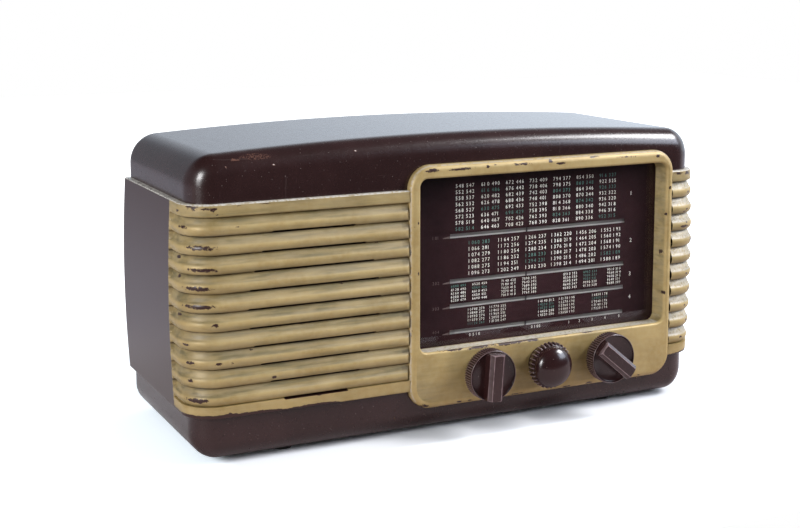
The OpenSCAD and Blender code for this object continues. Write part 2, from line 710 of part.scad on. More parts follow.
// Half a vane on one side of the tuning capacitor's shaft
module half_disc(r, hole) {
    difference() {
        intersection() {
            circle(r = r, $fn = round_fn);
            translate([-r - 1, -r - 1]) square([r + 1, 2 * r + 2]);
        }
        circle(r = hole, $fn = fine);
    }
}
module gang_frame() {
    color([0.72, 0.72, 0.70]) place() difference() {
        union() {
            translate([gang_x - gang_half, gang_y, deck_z + 3]) cube([2 * gang_half, gang_d, 2]);
            for (y = [gang_y, gang_y + gang_d - 2])
                translate([gang_x - gang_half, y, deck_z + 3]) cube([2 * gang_half, 2, gang_rise + 26]);
            for (p = [[-20, 8], [20, 8], [0, 52]])
                translate([gang_x + p[0], gang_y + p[1], deck_z]) cylinder(h = 4, r = 4, $fn = small);
        }
        rod_y(gang_x, gang_z, gang_y - 1, gang_d + 2, gang_shaft_r + run_gap);
    }
}
module gang_stators() {
    color([0.80, 0.80, 0.80]) place() {
        for (s = sections) for (i = [0:moving - 2])
            translate([gang_x, 0, gang_z]) along_y(s + (i + 0.5) * vane_pitch, vane_t) half_disc(27.5, 6);
        for (a = [150, 210])
            rod_y(gang_x + 26 * cos(a), gang_z + 26 * sin(a), gang_y + 2, gang_d - 4, 1.2, small);
    }
}
module gang_rotor() {
    rest_turn = 180 * 0.45;
    color([0.82, 0.80, 0.74]) place() {
        rod_y(gang_x, gang_z, drum_y - 1, gang_y + gang_d + 1 - drum_y, gang_shaft_r);
        for (s = sections) for (i = [0:moving - 1])
            translate([gang_x, 0, gang_z]) rotate([0, rest_turn, 0]) along_y(s + i * vane_pitch, vane_t)
                half_disc(vane_r, 0);
    }
}
module volume_control() {
    color([0.45, 0.42, 0.36]) place() {
        bush(volume_x, nut_t + sheet + 2);
        round_y(volume_x, shaft_z) {
            translate([shaft_r + run_gap, chassis_y + sheet]) square([pot_r - shaft_r - run_gap, 3]);
            translate([pot_r - 1.5, chassis_y + sheet]) square([1.5, 18]);
            translate([0, chassis_y + sheet + 17]) square([pot_r, 9]);
        }
    }
}
module volume_shaft() {
    color(steel) place() {
        rod_y(volume_x, shaft_z, shaft_end, chassis_y + 12 - shaft_end, shaft_r);
        rod_y(volume_x, shaft_z, chassis_y + 8, 4, pot_r - 3);
    }
}
module band_switch() {
    color([0.50, 0.38, 0.22]) place() {
        bush(band_x, nut_t + sheet + 2);
        round_y(band_x, shaft_z) {
            translate([shaft_r + run_gap, chassis_y + sheet]) square([switch_r - shaft_r - run_gap, 2]);
            for (y = wafers)
                translate([shaft_r + 3, chassis_y + y]) square([switch_r - shaft_r - 3, wafer_t]);
        }
        for (s = [-1, 1]) rod_y(band_x + s * (switch_r - 2), shaft_z, chassis_y + sheet, 50, 1.5, small);
    }
}
module band_shaft() {
    color(steel) place() {
        rod_y(band_x, shaft_z, shaft_end, chassis_y + 56 - shaft_end, shaft_r);
        for (y = wafers) rod_y(band_x, shaft_z, chassis_y + y, wafer_t, shaft_r + 2.7);
    }
}
module control_nuts() {
    color(steel) place() for (x = shafts_x)
        difference() {
            rod_y(x, shaft_z, chassis_y - nut_t, nut_t, nut_r, 6);
            rod_y(x, shaft_z, chassis_y - nut_t - 1, nut_t + 2, bush_r);
        }
}
// A knob's knurled body, with a number of teeth
module knurled(x, teeth, r, depth, y, len) {
    translate([x, 0, shaft_z]) along_y(y, len)
        polygon([for (i = [0:2 * teeth - 1]) let (a = 180 * i / teeth, q = i % 2 ? r - depth : r)
            [q * cos(a), q * sin(a)]]);
}
// A knob with a bar across its face, the bar turned from upright
module bar_knob(x, tilt) {
    color(bakelite) place() difference() {
        union() {
            knurled(x, 60, knob_r, 0.6, knob_back - knob_len + 3, knob_len - 3);
            round_y(x, shaft_z) polygon([[0, shaft_end - 2.8], [knob_r - 2.5, shaft_end - 2.8],
                [knob_r - 2.2, knob_face], [knob_r - 1, knob_face],
                [knob_r - 0.6, shaft_end], [0, shaft_end]]);
            translate([x, 0, shaft_z]) rotate([0, tilt, 0]) intersection() {
                translate([0, 0, -knob_r]) linear_extrude(knob_d)
                    polygon([[-grip_foot / 2, knob_face + 2], [-grip_w / 2, knob_face - grip_h],
                        [grip_w / 2, knob_face - grip_h], [grip_foot / 2, knob_face + 2]]);
                along_x(-grip_foot, 2 * grip_foot)
                    polygon([[knob_face + 2, -knob_r + 0.8], [knob_face - grip_h, -knob_r + 2],
                        [knob_face - grip_h, knob_r - 3.5], [knob_face + 2, knob_r - 0.8]]);
            }
        }
        rod_y(x, shaft_z, shaft_end, knob_len, shaft_r + run_gap);
    }
}
module volume_knob() bar_knob(volume_x, volume_tilt);
module band_knob() bar_knob(band_x, band_tilt);
module tuning_knob() {
    base = ring_len + 1;
    color(bakelite) place() difference() {
        union() {
            knurled(mid_knob_x, 36, knob_r, 1.3, knob_back - ring_len, ring_len);
            rod_y(mid_knob_x, shaft_z, knob_back - base, base, dome_r);
            round_y(mid_knob_x, shaft_z) intersection() {
                translate([0, knob_back - base]) circle(r = dome_r, $fn = round_fn);
                translate([0, knob_back - base - dome_r]) square([dome_r, dome_r]);
            }
        }
        rod_y(mid_knob_x, shaft_z, shaft_end, knob_len, shaft_r + run_gap);
    }
}
module knob_felts() {
    color([0.25, 0.25, 0.22]) place() for (x = shafts_x) round_y(x, shaft_z)
        translate([shaft_r + fit, -frame_out - felt_t]) square([6, felt_t]);
}
module chassis() {
    w = chassis_x1 - chassis_x0;
    color([0.68, 0.66, 0.60]) place() difference() {
        union() {
            translate([chassis_x0, chassis_y, deck_low]) cube([w, chassis_d, sheet]);
            for (y = [chassis_y, rear_apron - sheet])
                translate([chassis_x0, y, chassis_z]) cube([w, sheet, deck_z - chassis_z]);
            for (x = [chassis_x0, chassis_x1 - sheet])
                translate([x, chassis_y, chassis_z]) cube([sheet, chassis_d, deck_z - chassis_z]);
            for (p = bolt_places) let (x = p[0] < 0 ? chassis_x0 : p[0] - 8,
                y = p[1] < rear_apron / 2 ? chassis_y : p[1] - 8)
                    translate([x, y, chassis_z]) cube([18, 18, sheet]);
        }
        for (p = bolt_places) translate([p[0], p[1], chassis_z - 1])
            cylinder(h = 5, r = bolt_r + 0.1, $fn = small);
        for (p = socket_places) translate([p[0], p[1], deck_low - 1])
            cylinder(h = sheet + 2, r = socket_body + 0.2, $fn = fine);
        for (x = shafts_x) rod_y(x, shaft_z, chassis_y - 1, sheet + 2, bush_r + 0.1);
    }
}
// A transformer's stack of plates, with its two windows, standing on the deck
module core(x, y, w, d, h) {
    translate([x, y, deck_z]) difference() {
        translate([-w / 2, -d / 2, 0]) cube([w, d, h]);
        for (s = [-1, 1]) translate([s * w / 4 - w / 12, -d, h / 6]) cube([w / 6, 2 * d, h * 2 / 3]);
    }
}
// The winding that fills a stack's windows
module winding(x, y, w, d, h) {
    translate([x, y, deck_z + h / 6 + 0.2]) difference() {
        translate([-w / 3 + 0.2, -d / 2 - w / 7, 0])
            cube([w * 2 / 3 - 0.4, d + w * 2 / 7, h * 2 / 3 - 0.4]);
        translate([-w / 6 - 0.2, -d / 2 - 0.2, -1]) cube([w / 3 + 0.4, d + 0.4, h]);
    }
}
module mains_transformer_core() color([0.35, 0.35, 0.36]) place()
    core(mains_size[0], mains_size[1], mains_size[2], mains_size[3], mains_size[4]);
module mains_transformer_coil() color([0.60, 0.42, 0.20]) place()
    winding(mains_size[0], mains_size[1], mains_size[2], mains_size[3], mains_size[4]);
module output_transformer_core() color([0.35, 0.35, 0.36]) place()
    core(output_size[0], output_size[1], output_size[2], output_size[3], output_size[4]);
module output_transformer_coil() color([0.60, 0.42, 0.20]) place()
    winding(output_size[0], output_size[1], output_size[2], output_size[3], output_size[4]);
module valve_sockets() {
    color([0.30, 0.20, 0.14]) place() for (p = socket_places) translate([p[0], p[1], 0]) difference() {
        union() {
            translate([0, 0, deck_low - 6]) cylinder(h = sheet + 8, r = socket_body, $fn = fine);
            translate([0, 0, deck_z]) cylinder(h = 1.5, r = base_r + 0.5, $fn = fine);
        }
        translate([0, 0, deck_low - 7]) cylinder(h = sheet + 12, r = socket_bore, $fn = small);
    }
}
module valve_bases() {
    color([0.16, 0.10, 0.08]) place() for (p = socket_places) translate([p[0], p[1], 0]) {
        translate([0, 0, base_z]) cylinder(h = base_h, r = base_r, $fn = fine);
        translate([0, 0, deck_low - 4])
            cylinder(h = base_z - deck_low + 5, r = socket_bore - 0.2, $fn = small);
    }
}
// A valve's blown glass, with its pip at the top
module valve_glass(p, d) {
    r = d / 2;
    neck = min(r, 14.5);
    translate([p[0], p[1], glass_foot]) rotate_extrude($fn = 64) difference() {
        union() {
            square([neck, valve_h * 0.25]);
            translate([0, valve_h * 0.18]) square([r, valve_h * 0.62]);
            translate([0, valve_h * 0.8]) intersection() {
                circle(r = r, $fn = 64);
                square([r, valve_h * 0.2]);
            }
        }
        translate([-r, -1]) square([r, valve_h * 2]);
    }
}
module small_valves() color([0.35, 0.35, 0.36]) place()
    for (i = [0:2]) valve_glass(socket_places[i], valve_d);
module output_valve() color([0.35, 0.35, 0.36]) place() valve_glass(socket_places[3], power_d);
module rectifier_valve() color([0.35, 0.35, 0.36]) place() valve_glass(socket_places[4], power_d);
module intermediate_cans() {
    color([0.78, 0.78, 0.76]) place() for (p = can_places)
        translate([p[0], p[1], deck_z]) linear_extrude(can_h) rounded(34, 34, 4);
}
module reservoir_capacitor() {
    color([0.70, 0.70, 0.72]) place() translate([gang_x - 119, rear_apron - 22, deck_z]) {
        cylinder(h = can_h, r = 16, $fn = fine);
        translate([0, 0, can_h]) cylinder(h = 4, r = 12, $fn = fine);
    }
}
module coil_formers() {
    color([0.72, 0.55, 0.32]) place() for (i = [0:3])
        translate([band_x + switch_r + former_r + 12 + i % 2 * former_gap[0],
                chassis_y + 20 + floor(i / 2) * former_gap[1], deck_low - former_h]) {
            cylinder(h = former_h, r = former_r, $fn = fine);
            translate([0, 0, 8]) cylinder(h = 16, r = 9.5, $fn = fine);
        }
}
module tag_board() {
    color([0.62, 0.48, 0.26]) place() translate([volume_x - 40, chassis_y + 50, 0]) {
        translate([0, 0, deck_low - 22]) cube([95, 34, 2]);
        for (x = [6, 89]) translate([x, 17, deck_low - 21]) cylinder(h = 21, r = 3, $fn = small);
        for (i = [0:4]) translate([12 + i * 15, 3, deck_low - 28.6])
            rotate([-90, 0, 0]) cylinder(h = 28, r = 5, $fn = small);
        for (i = [0:4]) translate([11.5 + i * 15, 10, deck_low - 25]) cube([1, 14, 4]);
    }
}
module plug_sockets() {
    color([0.18, 0.12, 0.08]) place() difference() {
        union() {
            for (i = [0, 2]) translate([(sockets_x[i] + sockets_x[i + 1]) / 2, 0, socket_z])
                along_y(rear_apron, 2) rounded(sockets_x[i + 1] - sockets_x[i] + 11, 14, 3);
            for (x = sockets_x) rod_y(x, socket_z, rear_apron, back_y + back_t - rear_apron, 4.5);
        }
        for (x = sockets_x) rod_y(x, socket_z, rear_apron + 1, 20, socket_r);
    }
}
module voltage_selector() {
    color([0.22, 0.14, 0.10]) place() round_y(selector_x, socket_z) {
        translate([0, rear_apron]) square([18, 2]);
        translate([8 + run_gap, rear_apron]) square([10 - run_gap, back_y - rear_apron + 1]);
    }
}
module voltage_plug() {
    color([0.75, 0.68, 0.55]) place() {
        rod_y(selector_x, socket_z, rear_apron + 2.2, back_y - rear_apron, 8);
        translate([selector_x - 1.5, back_y + 1, socket_z - 6]) cube([3, 3, 12]);
    }
}
module cord_grommet() {
    color([0.12, 0.12, 0.12]) place() round_y(entry_x, entry_z) {
        translate([entry_r, back_y - 1.5]) square([5, 1.5]);
        translate([entry_r, back_y - 1.5]) square([2.5 - run_gap, back_t + 3]);
        translate([entry_r, back_y + back_t]) square([5, 1.5]);
    }
}
module speaker_frame() {
    rim = baffle_hole;
    color([0.30, 0.31, 0.30]) place() difference() {
        round_y(speaker_x, speaker_z) {
            translate([rim, basket_y]) square([speaker_r - rim, 1.2]);
            polygon([[rim, basket_y], [rim + 1.4, basket_y + 1.2], [41.4, yoke_y - 1], [40, yoke_y - 2]]);
            translate([coil_r + 1.6, yoke_y - 2]) square([41.4 - coil_r - 1.6, 2]);
            translate([33, yoke_y - 6]) square([10.5, 1.2]);
        }
        for (a = [0:60:300]) translate([speaker_x, 0, speaker_z]) rotate([0, a, 0])
            translate([-12, basket_y + 5, 44]) cube([24, yoke_y - basket_y - 14, 50]);
        for (p = rim_screw_places) rod_y(p[0], p[1], basket_y - 1, 4, 1.7, small);
    }
}
module speaker_magnet() {
    color([0.42, 0.43, 0.45]) place() round_y(speaker_x, speaker_z) {
        translate([coil_r + 1.6, yoke_y]) square([magnet_r - 4 - coil_r, 6]);
        translate([magnet_r - 14, yoke_y + 6]) square([14, magnet_d - 12]);
        translate([0, yoke_y + magnet_d - 6]) square([magnet_r - 2, 6]);
        translate([0, yoke_y - 1]) square([coil_r - 0.6, magnet_d - 4]);
    }
}
module speaker_cone() {
    color([0.16, 0.15, 0.14]) place() round_y(speaker_x, speaker_z)
        polygon([[baffle_hole - 7.5, basket_y], [baffle_hole - 7.5, basket_y + cone_t],
            [neck_r + 1, coil_top + cone_t], [neck_r, coil_top + cone_t + 3], [neck_r, coil_top - 1]]);
}
module cone_surround() {
    color([0.24, 0.21, 0.17]) place() round_y(speaker_x, speaker_z) {
        translate([baffle_hole - 1, surround_y]) square([speaker_r - 9 - baffle_hole, cone_t]);
        translate([baffle_hole - 7.5, surround_y]) square([3, cone_t]);
        difference() {
            translate([baffle_hole - 3.5, surround_y + cone_t]) circle(r = 3.5, $fn = 32);
            translate([baffle_hole - 3.5, surround_y + cone_t]) circle(r = 2.6, $fn = 32);
            translate([baffle_hole - 10, surround_y + cone_t]) square([20, 10]);
        }
    }
}
module coil_spider() {
    color([0.55, 0.42, 0.22]) place() round_y(speaker_x, speaker_z)
        translate([neck_r + fit, yoke_y - 6.7]) square([37 - neck_r, 0.7]);
}
module voice_coil() {
    color([0.62, 0.40, 0.22]) place() round_y(speaker_x, speaker_z)
        translate([coil_r, coil_top - 1]) square([0.6, yoke_y + 7 - coil_top]);
}
module dust_cap() {
    color([0.20, 0.18, 0.15]) place() round_y(speaker_x, speaker_z) difference() {
        translate([0, coil_top + 9]) circle(r = sqrt(neck_r * neck_r + 100), $fn = 64);
        translate([0, coil_top + 9]) circle(r = sqrt(neck_r * neck_r + 100) - 0.7, $fn = 64);
        translate([-50, coil_top - 1]) square([100, 100]);
        translate([-50, -50]) square([50, 200]);
    }
}

cabinet();
dial_frame();
frame_screws();
grille_cloth();
speaker_baffle();
board_screws();
rear_cover();
rear_cover_screws();
feet();
chassis_bolts();
dial_glass();
glass_clips();
dial_plate();
dial_lamps();
lamp_holders();
pointer();
pointer_rail();
dial_cords();
left_pulley();
right_pulley();
tuning_drum();
tuning_spindle();
spindle_bush();
gang_frame();
gang_stators();
gang_rotor();
volume_control();
volume_shaft();
band_switch();
band_shaft();
control_nuts();
volume_knob();
tuning_knob();
band_knob();
knob_felts();
chassis();
mains_transformer_core();
mains_transformer_coil();
output_transformer_core();
output_transformer_coil();
valve_sockets();
valve_bases();
small_valves();
output_valve();
rectifier_valve();
intermediate_cans();
reservoir_capacitor();
coil_formers();
tag_board();
plug_sockets();
voltage_selector();
voltage_plug();
cord_grommet();
speaker_frame();
speaker_magnet();
speaker_cone();
cone_surround();
coil_spider();
voice_coil();
dust_cap();
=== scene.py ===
"""A worn table radio receiver: looks, light and camera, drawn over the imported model."""

import logging
import math
from dataclasses import dataclass
from enum import Enum

import bmesh
import bpy
import numpy as np
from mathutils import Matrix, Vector
from mathutils.geometry import tessellate_polygon


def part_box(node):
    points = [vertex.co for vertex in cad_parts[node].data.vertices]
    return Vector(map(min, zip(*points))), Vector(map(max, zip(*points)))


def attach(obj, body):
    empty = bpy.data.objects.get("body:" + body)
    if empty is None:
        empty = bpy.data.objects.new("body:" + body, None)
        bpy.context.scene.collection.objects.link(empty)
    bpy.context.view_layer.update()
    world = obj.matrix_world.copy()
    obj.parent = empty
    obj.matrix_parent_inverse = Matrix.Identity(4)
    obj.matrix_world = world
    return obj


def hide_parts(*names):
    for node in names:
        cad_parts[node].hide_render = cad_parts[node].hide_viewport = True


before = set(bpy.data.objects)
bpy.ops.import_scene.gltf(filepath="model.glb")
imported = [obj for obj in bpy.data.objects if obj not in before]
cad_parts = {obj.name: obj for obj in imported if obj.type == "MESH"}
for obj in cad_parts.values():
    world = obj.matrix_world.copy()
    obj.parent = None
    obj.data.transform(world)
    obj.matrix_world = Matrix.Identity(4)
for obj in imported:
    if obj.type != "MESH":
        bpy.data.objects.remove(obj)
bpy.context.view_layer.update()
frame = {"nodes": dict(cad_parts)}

MM = 0.001
QUARTER = math.pi / 2
log = logging.getLogger("radio")

Colour = tuple[float, float, float]
Point = tuple[float, float]
Stretch = tuple[float, float, float]
Socket = bpy.types.NodeSocket


def srgb(red: int, green: int, blue: int) -> Colour:
    """Turns a screen colour from 0 to 255 into the renderer's linear colour."""
    parts = [c / 255 for c in (red, green, blue)]
    return tuple(c / 12.92 if c <= 0.04045 else ((c + 0.055) / 1.055) ** 2.4 for c in parts)


# Drawing and meshes


@dataclass(frozen=True)
class Drawing:
    """Where the cabinet's own drawing, in millimetres, lies in the shared frame."""

    front_y: float
    floor_z: float

    @classmethod
    def read(cls, depth: float) -> "Drawing":
        """Finds the drawing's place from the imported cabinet."""
        low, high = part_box("cabinet")
        return cls(high.y / MM - depth, low.z / MM)

    def to_frame(self, points: np.ndarray) -> np.ndarray:
        """Moves points from the drawing to the frame, in metres."""
        return (points + np.array([0.0, self.front_y, self.floor_z])) * MM


class MeshBuilder:
    """Collects vertices in the drawing's millimetres, faces and vertex values, and makes one piece."""

    def __init__(self, drawing: Drawing) -> None:
        """Starts an empty mesh.

        Args:
            drawing: the drawing's place.
        """
        self.drawing = drawing
        self.blocks: list[np.ndarray] = []
        self.faces: list[tuple[int, ...]] = []
        self.values: dict[str, list[tuple[int, np.ndarray]]] = {}
        self.count = 0

    def add(self, points: np.ndarray, **values: np.ndarray) -> int:
        """Adds loose points and returns the number of the first.

        Args:
            points: the points.
            values: one number for each point, under a name.

        Returns:
            The number of the first point.
        """
        start, flat = self.count, np.asarray(points, float).reshape(-1, 3)
        self.blocks.append(flat)
        for name, data in values.items():
            self.values.setdefault(name, []).append((start, np.asarray(data, float).reshape(-1)))
        self.count += len(flat)
        return start

    def grid(self, points: np.ndarray, wrap_columns: bool = False, keep: np.ndarray | None = None,
             **values: np.ndarray) -> None:
        """Adds a sheet of four-sided faces.

        Args:
            points: an array of rows, columns and 3.
            wrap_columns: joins the last column to the first.
            keep: which faces to make, all by default.
            values: one number for each point, under a name.
        """
        rows, columns = points.shape[:2]
        start = self.add(points, **values)
        across = columns if wrap_columns else columns - 1
        i, j = np.meshgrid(np.arange(rows - 1), np.arange(across), indexing="ij")
        if keep is not None:
            i, j = i[keep], j[keep]
        down, right = i + 1, (j + 1) % columns
        corners = [i * columns + j, i * columns + right, down * columns + right, down * columns + j]
        self.faces += [tuple(f) for f in (np.stack(corners, -1).reshape(-1, 4) + start).tolist()]

    def flat(self, outlines: list[np.ndarray]) -> None:
        """Fills the first closed outline, leaving the others out as holes.

        Args:
            outlines: the outlines, the outer one first.
        """
        start = self.add(np.concatenate(outlines))
        triangles = tessellate_polygon([[Vector(p) for p in o] for o in outlines])
        self.faces += [tuple(start + i for i in t) for t in triangles]

    def turned(self, profile: list[tuple[float, float]], x: float, z: float, steps: int) -> None:
        """Adds a profile of radius and depth, turned round an axis that runs to the rear.

        Args:
            profile: the radius and the depth of each ring.
            x, z: the axis.
            steps: the points on each ring.
        """
        turn = np.linspace(0, 2 * math.pi, steps, endpoint=False)
        rows = [np.stack([x + r * np.cos(turn), np.full(steps, y), z + r * np.sin(turn)], -1)
                for r, y in profile]
        self.grid(np.stack(rows), wrap_columns=True)

    def piece(self, name: str, material: bpy.types.Material, smooth: float = 40,
              weld: float = 0.004) -> bpy.types.Object:
        """Makes the mesh object.

        Args:
            name: the piece's name.
            material: its finish.
            smooth: the angle in degrees above which an edge stays sharp.
            weld: the distance in millimetres within which points become one, or 0 for none.

        Returns:
            The object, in the shared frame.
        """
        mesh = bpy.data.meshes.new(name)
        places = self.drawing.to_frame(np.concatenate(self.blocks))
        mesh.from_pydata(places.tolist(), [], self.faces)
        for key, parts in self.values.items():
            data = np.zeros(self.count, np.float32)
            for start, part in parts:
                data[start:start + len(part)] = part
            mesh.attributes.new(key, "FLOAT", "POINT").data.foreach_set("value", data)
        shape = bmesh.new()
        shape.from_mesh(mesh)
        if weld:
            bmesh.ops.remove_doubles(shape, verts=shape.verts, dist=weld * MM)
        bmesh.ops.recalc_face_normals(shape, faces=shape.faces)
        shape.to_mesh(mesh)
        shape.free()
        mesh.shade_smooth()
        mesh.set_sharp_from_angle(angle=math.radians(smooth))
        made = bpy.data.objects.new(name, mesh)
        bpy.context.scene.collection.objects.link(made)
        mesh.materials.append(material)
        return made


class Outline:
    """Collects a closed outline, drawn anticlockwise as x and z, and its outward normals."""

    def __init__(self) -> None:
        """Starts with nothing drawn."""
        self.points: list[Point] = []
        self.normals: list[Point] = []

    def line(self, start: Point, end: Point, count: int, normal: Point) -> None:
        """Draws a straight side, without its last point.

        Args:
            start, end: its ends.
            count: its number of points.
            normal: its outward normal.
        """
        for t in np.linspace(0, 1, count, endpoint=False):
            self.points.append((start[0] + (end[0] - start[0]) * t, start[1] + (end[1] - start[1]) * t))
            self.normals.append(normal)

    def arc(self, centre: Point, radius: float, first: float, last: float, count: int) -> None:
        """Draws a bend, without its last point.

        Args:
            centre: its middle.
            radius: its radius.
            first, last: the angles of its ends.
            count: its number of points.
        """
        for t in np.linspace(first, last, count, endpoint=False):
            self.points.append((centre[0] + radius * math.cos(t), centre[1] + radius * math.sin(t)))
            self.normals.append((math.cos(t), math.sin(t)))

    def arrays(self) -> tuple[np.ndarray, np.ndarray]:
        """Returns the points and the normals."""
        return np.array(self.points), np.array(self.normals)


def rounded_outline(left: float, right: float, low: float, high: float, radius: float,
                    across: int, up: int, bend: int) -> tuple[np.ndarray, np.ndarray]:
    """Draws a rectangle with round corners, anticlockwise from the left of its lower side.

    Args:
        left, right, low, high: its sides in millimetres.
        radius: the corners' radius.
        across, up, bend: the points on a level side, an upright side and a corner.

    Returns:
        The points and the outward normals, as x and z.
    """
    near_left, near_right, near_low, near_high = left + radius, right - radius, low + radius, high - radius
    shape = Outline()
    shape.line((near_left, low), (near_right, low), across, (0, -1))
    shape.arc((near_right, near_low), radius, -QUARTER, 0, bend)
    shape.line((right, near_low), (right, near_high), up, (1, 0))
    shape.arc((near_right, near_high), radius, 0, QUARTER, bend)
    shape.line((near_right, high), (near_left, high), across, (0, 1))
    shape.arc((near_left, near_high), radius, QUARTER, 2 * QUARTER, bend)
    shape.line((left, near_high), (left, near_low), up, (-1, 0))
    shape.arc((near_left, near_low), radius, 2 * QUARTER, 3 * QUARTER, bend)
    return shape.arrays()


def circle(x: float, y: float, z: float, radius: float, steps: int = 48) -> np.ndarray:
    """Returns the points of an upright circle."""
    turn = np.linspace(0, 2 * math.pi, steps, endpoint=False)
    return np.stack([x + radius * np.cos(turn), np.full(steps, y), z + radius * np.sin(turn)], -1)


@dataclass(frozen=True)
class Spot:
    """A worn place on a painted face, as the middle and half lengths of an ellipse."""

    along: float
    height: float
    half_long: float
    half_high: float
    strength: float = 1.0


def worn(spots: tuple[Spot, ...], along: np.ndarray, height: np.ndarray) -> np.ndarray:
    """Says how worn each point is, from 0 to 1.

    Args:
        spots: the worn places.
        along: how far along the face each point lies.
        height: each point's height.

    Returns:
        The wear of each point.
    """
    level = np.zeros(np.broadcast(along, height).shape)
    for spot in spots:
        away = np.sqrt(((along - spot.along) / spot.half_long) ** 2
                       + ((height - spot.height) / spot.half_high) ** 2)
        level = np.maximum(level, spot.strength * np.clip(1.45 - 0.75 * away, 0, 1))
    return level


# Shader nodes


class Nodes:
    """Adds nodes to a tree. Every value may be a number, a colour or another node's socket."""

    # The places of a Mix node's two ends and of its result, for each kind of value.
    MIX_SOCKETS = {"RGBA": (6, 7, 2), "FLOAT": (2, 3, 0)}

    def __init__(self, tree: bpy.types.NodeTree) -> None:
        """Works on one node tree."""
        self.tree = tree

    def add(self, kind: str, **settings: object) -> bpy.types.Node:
        """Adds a node and sets its properties.

        Args:
            kind: the node's type.
            settings: its properties.

        Returns:
            The node.
        """
        node = self.tree.nodes.new(kind)
        for key, value in settings.items():
            setattr(node, key, value)
        return node

    def put(self, socket: Socket, value: object) -> None:
        """Links a socket, or sets its number or colour.

        Args:
            socket: the input.
            value: what it gets, or None to leave it.
        """
        if isinstance(value, Socket):
            self.tree.links.new(value, socket)
        elif value is not None:
            if isinstance(value, tuple) and len(value) == 3 and socket.type == "RGBA":
                value = (*value, 1.0)
            socket.default_value = value

    def math(self, operation: str, a: object, b: object = None, c: object = None) -> Socket:
        """Combines numbers.

        Args:
            operation: the Math node's operation.
            a, b, c: its inputs.

        Returns:
            The result.
        """
        node = self.add("ShaderNodeMath", operation=operation)
        for socket, value in zip(node.inputs, (a, b, c)):
            self.put(socket, value)
        return node.outputs[0]

    def mix(self, share: object, a: object, b: object) -> Socket:
        """Mixes two colours."""
        return self._blend("RGBA", share, a, b)

    def tint(self, colour: object, over: object, mask: object, share: float) -> Socket:
        """Lays a share of another colour over a colour, by a mask."""
        return self.mix(self.math("MULTIPLY", mask, share), colour, over)

    def mix_number(self, share: object, a: object, b: object) -> Socket:
        """Mixes two numbers."""
        return self._blend("FLOAT", share, a, b)

    def _blend(self, kind: str, share: object, a: object, b: object) -> Socket:
        """Adds a Mix node.

        Args:
            kind: the kind of value, as the node names it.
            share: the share of the second end.
            a, b: the two ends.

        Returns:
            The result.
        """
        node = self.add("ShaderNodeMix", data_type=kind)
        first, second, result = self.MIX_SOCKETS[kind]
        for place, value in ((0, share), (first, a), (second, b)):
            self.put(node.inputs[place], value)
        return node.outputs[result]

    def fade(self, value: object, low: object, high: object, start: object = 0.0,
             end: object = 1.0) -> Socket:
        """Maps a number from low to high smoothly onto start to end.

        Args:
            value: the number.
            low, high: where the change begins and ends.
            start, end: the results there.

        Returns:
            The result.
        """
        node = self.add("ShaderNodeMapRange", interpolation_type="SMOOTHSTEP")
        for socket, item in zip(node.inputs[:5], (value, low, high, start, end)):
            self.put(socket, item)
        return node.outputs[0]

    def place(self, stretch: Stretch = (1, 1, 1)) -> Socket:
        """Returns the point on the piece in metres, stretched.

        Args:
            stretch: the scale along each axis.

        Returns:
            The point.
        """
        node = self.add("ShaderNodeMapping")
        self.put(node.inputs["Vector"], self.add("ShaderNodeTexCoord").outputs["Object"])
        self.put(node.inputs["Scale"], stretch)
        return node.outputs[0]

    def noise(self, scale: object, detail: float = 3, stretch: Stretch = (1, 1, 1),
              rough: float = 0.55) -> Socket:
        """Adds noise, with its scale in features for each metre.

        Args:
            scale: its scale.
            detail: its number of finer layers.
            stretch: the scale along each axis.
            rough: how strong the finer layers are.

        Returns:
            The noise, from 0 to 1.
        """
        node = self.add("ShaderNodeTexNoise")
        self.put(node.inputs["Vector"], self.place(stretch))
        self.put(node.inputs["Scale"], scale)
        self.put(node.inputs["Detail"], detail)
        self.put(node.inputs["Roughness"], rough)
        return node.outputs[0]

    def cells(self, scale: object) -> Socket:
        """Returns the distance to the nearest of some scattered points.

        Args:
            scale: the points for each metre.

        Returns:
            The distance.
        """
        node = self.add("ShaderNodeTexVoronoi")
        self.put(node.inputs["Vector"], self.place())
        self.put(node.inputs["Scale"], scale)
        return node.outputs["Distance"]

    def value(self, name: str) -> Socket:
        """Reads a number that the mesh carries at each point."""
        return self.add("ShaderNodeAttribute", attribute_name=name).outputs["Fac"]

    def facing(self) -> Socket:
        """Returns how far the face looks up, from -1 to 1."""
        split = self.add("ShaderNodeSeparateXYZ")
        self.put(split.inputs[0], self.add("ShaderNodeNewGeometry").outputs["Normal"])
        return split.outputs["Z"]

    def bump(self, height: object, strength: float, depth: float) -> Socket:
        """Turns a height into a normal, with its depth in millimetres.

        Args:
            height: the height.
            strength: how much of the slope counts.
            depth: the height's full measure.

        Returns:
            The normal.
        """
        node = self.add("ShaderNodeBump")
        self.put(node.inputs["Strength"], strength)
        self.put(node.inputs["Distance"], depth * MM)
        self.put(node.inputs["Height"], height)
        return node.outputs[0]

    def call(self, group: "Effect", **inputs: object) -> bpy.types.Node:
        """Uses a shared effect.

        Args:
            group: the effect.
            inputs: its inputs.

        Returns:
            The group node.
        """
        node = self.add("ShaderNodeGroup", node_tree=Effects.tree(group))
        for key, value in inputs.items():
            self.put(node.inputs[key.replace("_", " ").title()], value)
        return node


class Effect(Enum):
    """The effects that several finishes share."""

    PAINT_WEAR = "PaintWear"
    DUST = "DustSpecks"
    MOTTLE = "Mottle"
    GRAIN = "FineGrain"
    SCRATCHES = "Scratches"


